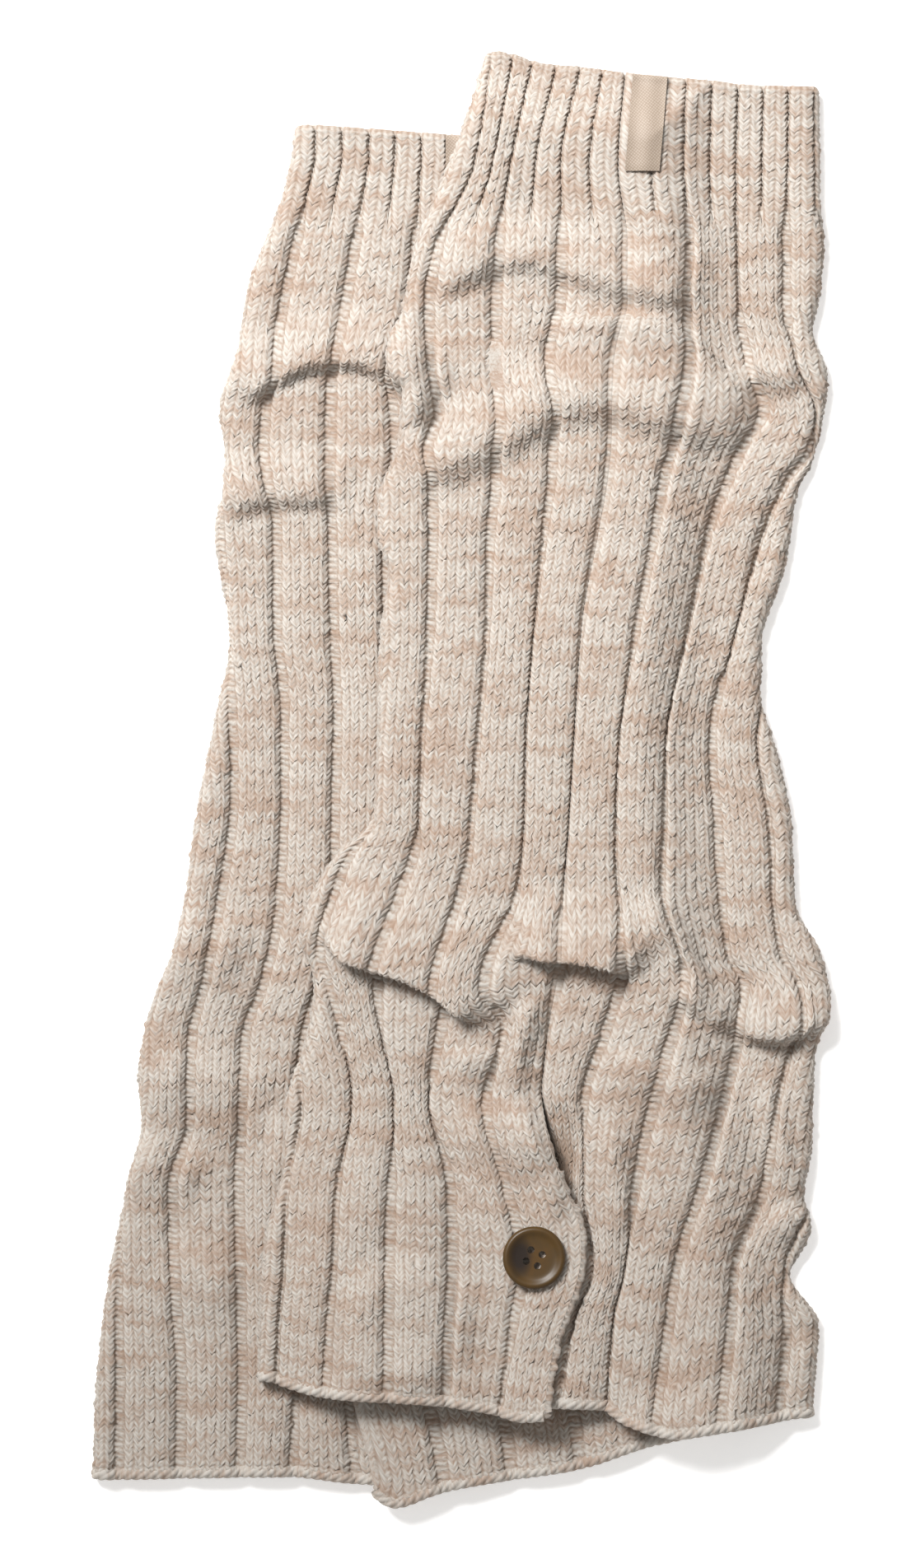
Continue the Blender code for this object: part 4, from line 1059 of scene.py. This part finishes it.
def add(tree, kind, values=None, **settings):
    """Adds a node with its settings; values are inputs by name or number, plain or linked."""
    node = tree.nodes.new(kind)
    for name, setting in settings.items():
        setattr(node, name, setting)
    for key, value in (values or {}).items():
        if isinstance(value, bpy.types.NodeSocket):
            tree.links.new(value, node.inputs[key])
        else:
            node.inputs[key].default_value = value
    return node


def new_material(name, values):
    """A material, with the values that are the same all over it on the shader's own sockets."""
    material = bpy.data.materials.new(name)
    material.use_nodes = True
    shader = material.node_tree.nodes["Principled BSDF"]
    for key, value in values.items():
        shader.inputs[key].default_value = value
    return material, material.node_tree, shader


def marl_cotton_knit(name, seed):
    """Marl cotton yarn, cream plied with beige: runs of beige along the courses, dry and matt,
    with painted shade between its stitches.

    Its patterns are counted in wales of 2.8 mm and courses of 1.8 mm."""
    material, tree, shader = new_material(name, {
        "Roughness": 0.92, "Specular IOR Level": 0.25, "Sheen Weight": 0.25,
        "Sheen Roughness": 0.5, "Sheen Tint": linear("#F4E9DE")})
    stitch = add(tree, "ShaderNodeUVMap", uv_map="stitch").outputs["UV"]
    relief = add(tree, "ShaderNodeUVMap", uv_map="relief").outputs["UV"]
    parts = add(tree, "ShaderNodeSeparateXYZ", {"Vector": stitch})
    wale, course = parts.outputs["X"], parts.outputs["Y"]
    row = add(tree, "ShaderNodeMath", {0: course}, operation="FLOOR").outputs[0]
    height = add(tree, "ShaderNodeSeparateXYZ", {"Vector": relief}).outputs["Y"]

    def noise(across, along, number, detail=2.0):
        """Noise with cells so many wales wide and so many courses tall."""
        x = add(tree, "ShaderNodeMath", {0: wale, 1: 1 / across}, operation="MULTIPLY")
        y = add(tree, "ShaderNodeMath", {0: number, 1: 1 / along}, operation="MULTIPLY")
        place = add(tree, "ShaderNodeCombineXYZ",
                    {"X": x.outputs[0], "Y": y.outputs[0], "Z": seed + across})
        return add(tree, "ShaderNodeTexNoise", {"Vector": place.outputs[0], "Scale": 1.0,
                                                "Detail": detail}).outputs["Fac"]

    long_runs = noise(10.0, 4.2, course)
    short_runs = noise(4.5, 1.1, row, 1.0)
    both = add(tree, "ShaderNodeMath", {0: long_runs, 1: short_runs}, operation="ADD").outputs[0]
    ragged = add(tree, "ShaderNodeMath", {0: noise(0.8, 0.9, course), 1: 0.5, 2: both},
                 operation="MULTIPLY_ADD").outputs[0]
    ply = noise(0.3, 0.4, course, 1.0)
    # Over the cream: runs of beige, dark and light plies, and painted shade in the gaps between
    # stitches, where a point lies low. Each has the value that it follows, from where to where,
    # its most and its colour
    colour = linear("#B1ABA3")
    for value, start, stop, most, code in (
            (ragged, 1.17, 1.47, 1.0, "#A08F82"), (ply, 0.5, 0.72, 0.48, "#8B7260"),
            (ply, 0.5, 0.3, 0.38, "#BDB7B1"), (height, 0.05, -0.6, 0.75, "#7A624F")):
        share = add(tree, "ShaderNodeMapRange", {"Value": value, "From Min": start,
                                                 "From Max": stop, "To Max": most})
        colour = add(tree, "ShaderNodeMix", {"Factor": share.outputs["Result"], 6: colour,
                                             7: linear(code)}, data_type="RGBA").outputs[2]
    tree.links.new(colour, shader.inputs["Base Color"])
    bump = add(tree, "ShaderNodeBump", {"Height": ply, "Strength": 0.35,
                                        "Distance": 0.25 * MM})
    tree.links.new(bump.outputs[0], shader.inputs["Normal"])
    return material


def moulded_horn_polyester(name):
    """Polyester cast to look like horn: olive brown with wisps, polished, with painted shade over
    the left side of its dish.
    """
    material, tree, shader = new_material(name, {
        "Roughness": 0.4, "IOR": 1.52, "Specular IOR Level": 0.35})
    place = add(tree, "ShaderNodeTexCoord").outputs["Object"]
    offset = add(tree, "ShaderNodeVectorMath", {0: place, 1: (0.0044, -0.0004, 0.0)},
                 operation="ADD")
    tall = add(tree, "ShaderNodeVectorMath", {0: offset.outputs[0], 1: (1.0, 0.6, 0.0)},
               operation="MULTIPLY").outputs[0]
    wisps = add(tree, "ShaderNodeTexNoise", {"Vector": place, "Scale": 1 / (3.846 * MM),
                                             "Detail": 3.0, "Distortion": 0.6}).outputs["Fac"]
    # The rim starts and stops at these distances from the button's middle, and the painted shade
    # over the dish's left side from its own middle
    to_rim, painted_dish_shade = (
        add(tree, "ShaderNodeMapRange", {
            "Value": add(tree, "ShaderNodeVectorMath", {0: vector},
                         operation="LENGTH").outputs["Value"],
            "From Min": start * MM, "From Max": stop * MM, "To Max": most},
            interpolation_type="SMOOTHSTEP").outputs["Result"]
        for vector, start, stop, most in ((place, 3.0, 7.5, 1.0), (tall, 5.0, 1.6, 0.95)))
    colour = linear("#573A10")
    # The last colour is painted shade, dark over the left side of the dish
    for share, code in ((to_rim, "#50370F"), (wisps, "#3D2E17"), (painted_dish_shade, "#1E1510")):
        colour = add(tree, "ShaderNodeMix", {"Factor": share, 6: colour, 7: linear(code)},
                     data_type="RGBA").outputs[2]
    tree.links.new(colour, shader.inputs["Base Color"])
    return material


def woven_polyester_tape(name):
    """Woven peach tape: fine twill dots over a smooth, slightly shiny ground.

    The real thread is about 0.3 mm thick, too fine to show, so it is drawn 0.75 mm thick."""
    material, tree, shader = new_material(name, {"Roughness": 0.6, "Sheen Weight": 0.15})
    place = add(tree, "ShaderNodeTexCoord").outputs["Object"]
    thread = 0.75 * MM
    spun = add(tree, "ShaderNodeMapping", {"Vector": place, "Rotation": (0, 0, math.radians(38)),
                                           "Scale": (1 / thread, 1 / thread, 0.0)})
    dots = add(tree, "ShaderNodeTexVoronoi", {"Vector": spun.outputs[0], "Scale": 1.0,
                                              "Randomness": 0.12}).outputs["Distance"]
    grain = add(tree, "ShaderNodeMapRange", {"Value": dots, "From Min": 0.1, "From Max": 0.55})
    colour = add(tree, "ShaderNodeMix", {"Factor": grain.outputs["Result"],
                                         6: linear("#A19386"), 7: linear("#857565")},
                 data_type="RGBA").outputs[2]
    tree.links.new(colour, shader.inputs["Base Color"])
    bump = add(tree, "ShaderNodeBump", {"Height": dots, "Strength": 0.4,
                                        "Distance": 0.2 * MM}, invert=True)
    tree.links.new(bump.outputs[0], shader.inputs["Normal"])
    return material


def build_leg(shape, base):
    """The knit bands and the hem cord of one leg warmer."""
    name, bands = shape.table["name"], shape.table["bands"]
    grid = KnitGrid(shape, base)
    material = marl_cotton_knit(name + "_marl_cotton_knit", shape.table["seed"])
    extra = len(EDGE_TURNS)
    every = np.arange(grid.outer.shape[1])
    sparse = every[(every < extra) | (every >= extra + grid.right_count - 1)
                   | ((every - extra) % (SPARSE_WALES * COLUMNS) == 0)]
    cuts = [0] + [extra + ROWS * course for course in bands] + [grid.outer.shape[0] - 1]
    pieces = []
    for k, part in enumerate(("cuff", "leg", "hem")):
        columns = sparse if shape.table["covered"] and part != "hem" else every
        pieces.append(knit_band(f"{name}_knit_{part}", grid, cuts[k], cuts[k + 1], columns))
    line = grid.hem_line.copy()
    line[:, 2] = np.maximum(line[:, 2], CORD_RADIUS)
    # Every other point of the hem's line is enough for the cord
    cord = twisted_cord(name + "_hem_cord", line[::2])
    for piece in pieces + [cord]:
        piece.data.materials.append(material)
    return pieces, cord


def flat_size(shape, first, last):
    """Flat width, length and area of a band of the tube, opened along its slit line."""
    station = np.linspace(first, last, num=40)
    around = 2 * (shape.right(station) - shape.left(station)) + 4 * WALL
    long = abs(first - last)
    return around.max() * MM, long * MM, float(around.mean() * long) * MM * MM


def build_pair():
    """Both leg warmers: each one's knit, hem cord, button and label."""
    under, top = Legwarmer(UNDER), Legwarmer(TOP)

    def on_under(x, y):
        """How high the top one's underside lies."""
        return stack_rise(x, y, under)

    horn = moulded_horn_polyester("moulded_horn_polyester")
    tape = woven_polyester_tape("woven_polyester_tape")
    for shape, base in ((top, on_under), (under, floor_rise)):
        name, bands = shape.table["name"], shape.table["bands"]
        pieces, cord = build_leg(shape, base)
        stations = [shape.top] + [shape.top - band * COURSE for band in bands] + [shape.end]
        for k, piece in enumerate(pieces):
            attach(piece, "root")
            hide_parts(name + "_tube")
            wide, long, area = flat_size(shape, stations[k], stations[k + 1])
        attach(cord, "root")
        button = turned_button(name + "_horn_button", shape, base)
        button.data.materials.append(horn)
        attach(button, "root")
        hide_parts(name + "_button")
        label = woven_label(name + "_woven_label", shape, base)
        label.data.materials.append(tape)
        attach(label, "root")
        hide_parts(name + "_label")


def lay_floor():
    """A plain pale surface: opal acrylic, lit a little from below to keep it white."""
    size, drop = 3.0, 0.0004
    mesh = bpy.data.meshes.new("floor")
    corners = [(-size, -size, 0), (size, -size, 0), (size, size, 0), (-size, size, 0)]
    mesh.from_pydata(corners, [], [(0, 1, 2, 3)])
    floor = into_scene("floor", mesh)
    floor.location.z = -drop
    mesh.materials.append(new_material("opal_acrylic_light_table", {
        "Base Color": linear("#F6F5F4"), "Roughness": 0.95,
        "Emission Color": linear("#FFFFFF"), "Emission Strength": 0.38})[0])


def light_studio():
    """A large softbox with a grid, up at the left past the cuffs, over an even pale surround.

    The grid narrows the light, so that the hems get less of it than the cuffs."""
    data = bpy.data.lights.new("softbox", "AREA")
    data.shape = "SQUARE"
    data.size = 0.8
    data.spread = math.radians(34)
    data.energy = 4.5
    lamp = into_scene("softbox", data)
    lamp.location = (-0.69, 0.97, 1.28)
    aim = Vector((0.0, 0.19, 0.0))
    lamp.rotation_euler = (aim - lamp.location).to_track_quat("-Z", "Y").to_euler()

    world = bpy.data.worlds.new("surround")
    world.use_nodes = True
    background = world.node_tree.nodes["Background"]
    background.inputs["Color"].default_value = linear("#FBFAF8")
    background.inputs["Strength"].default_value = 0.46
    bpy.context.scene.world = world
    bpy.context.scene.view_settings.view_transform = "Standard"


def set_camera():
    """Straight above, with a long lens; the view is as wide and tall as the photograph."""
    distance, cloth_height = 2.6, 0.010
    data = bpy.data.cameras.new("camera")
    data.sensor_width = 36.0
    data.lens = data.sensor_width * distance / (PHOTO_HIGH / PIXELS_PER_MM * MM)
    camera = into_scene("camera", data)
    camera.location = (-0.00114, -0.00302, distance + cloth_height)
    bpy.context.scene.camera = camera


build_pair()
lay_floor()
light_studio()
set_camera()
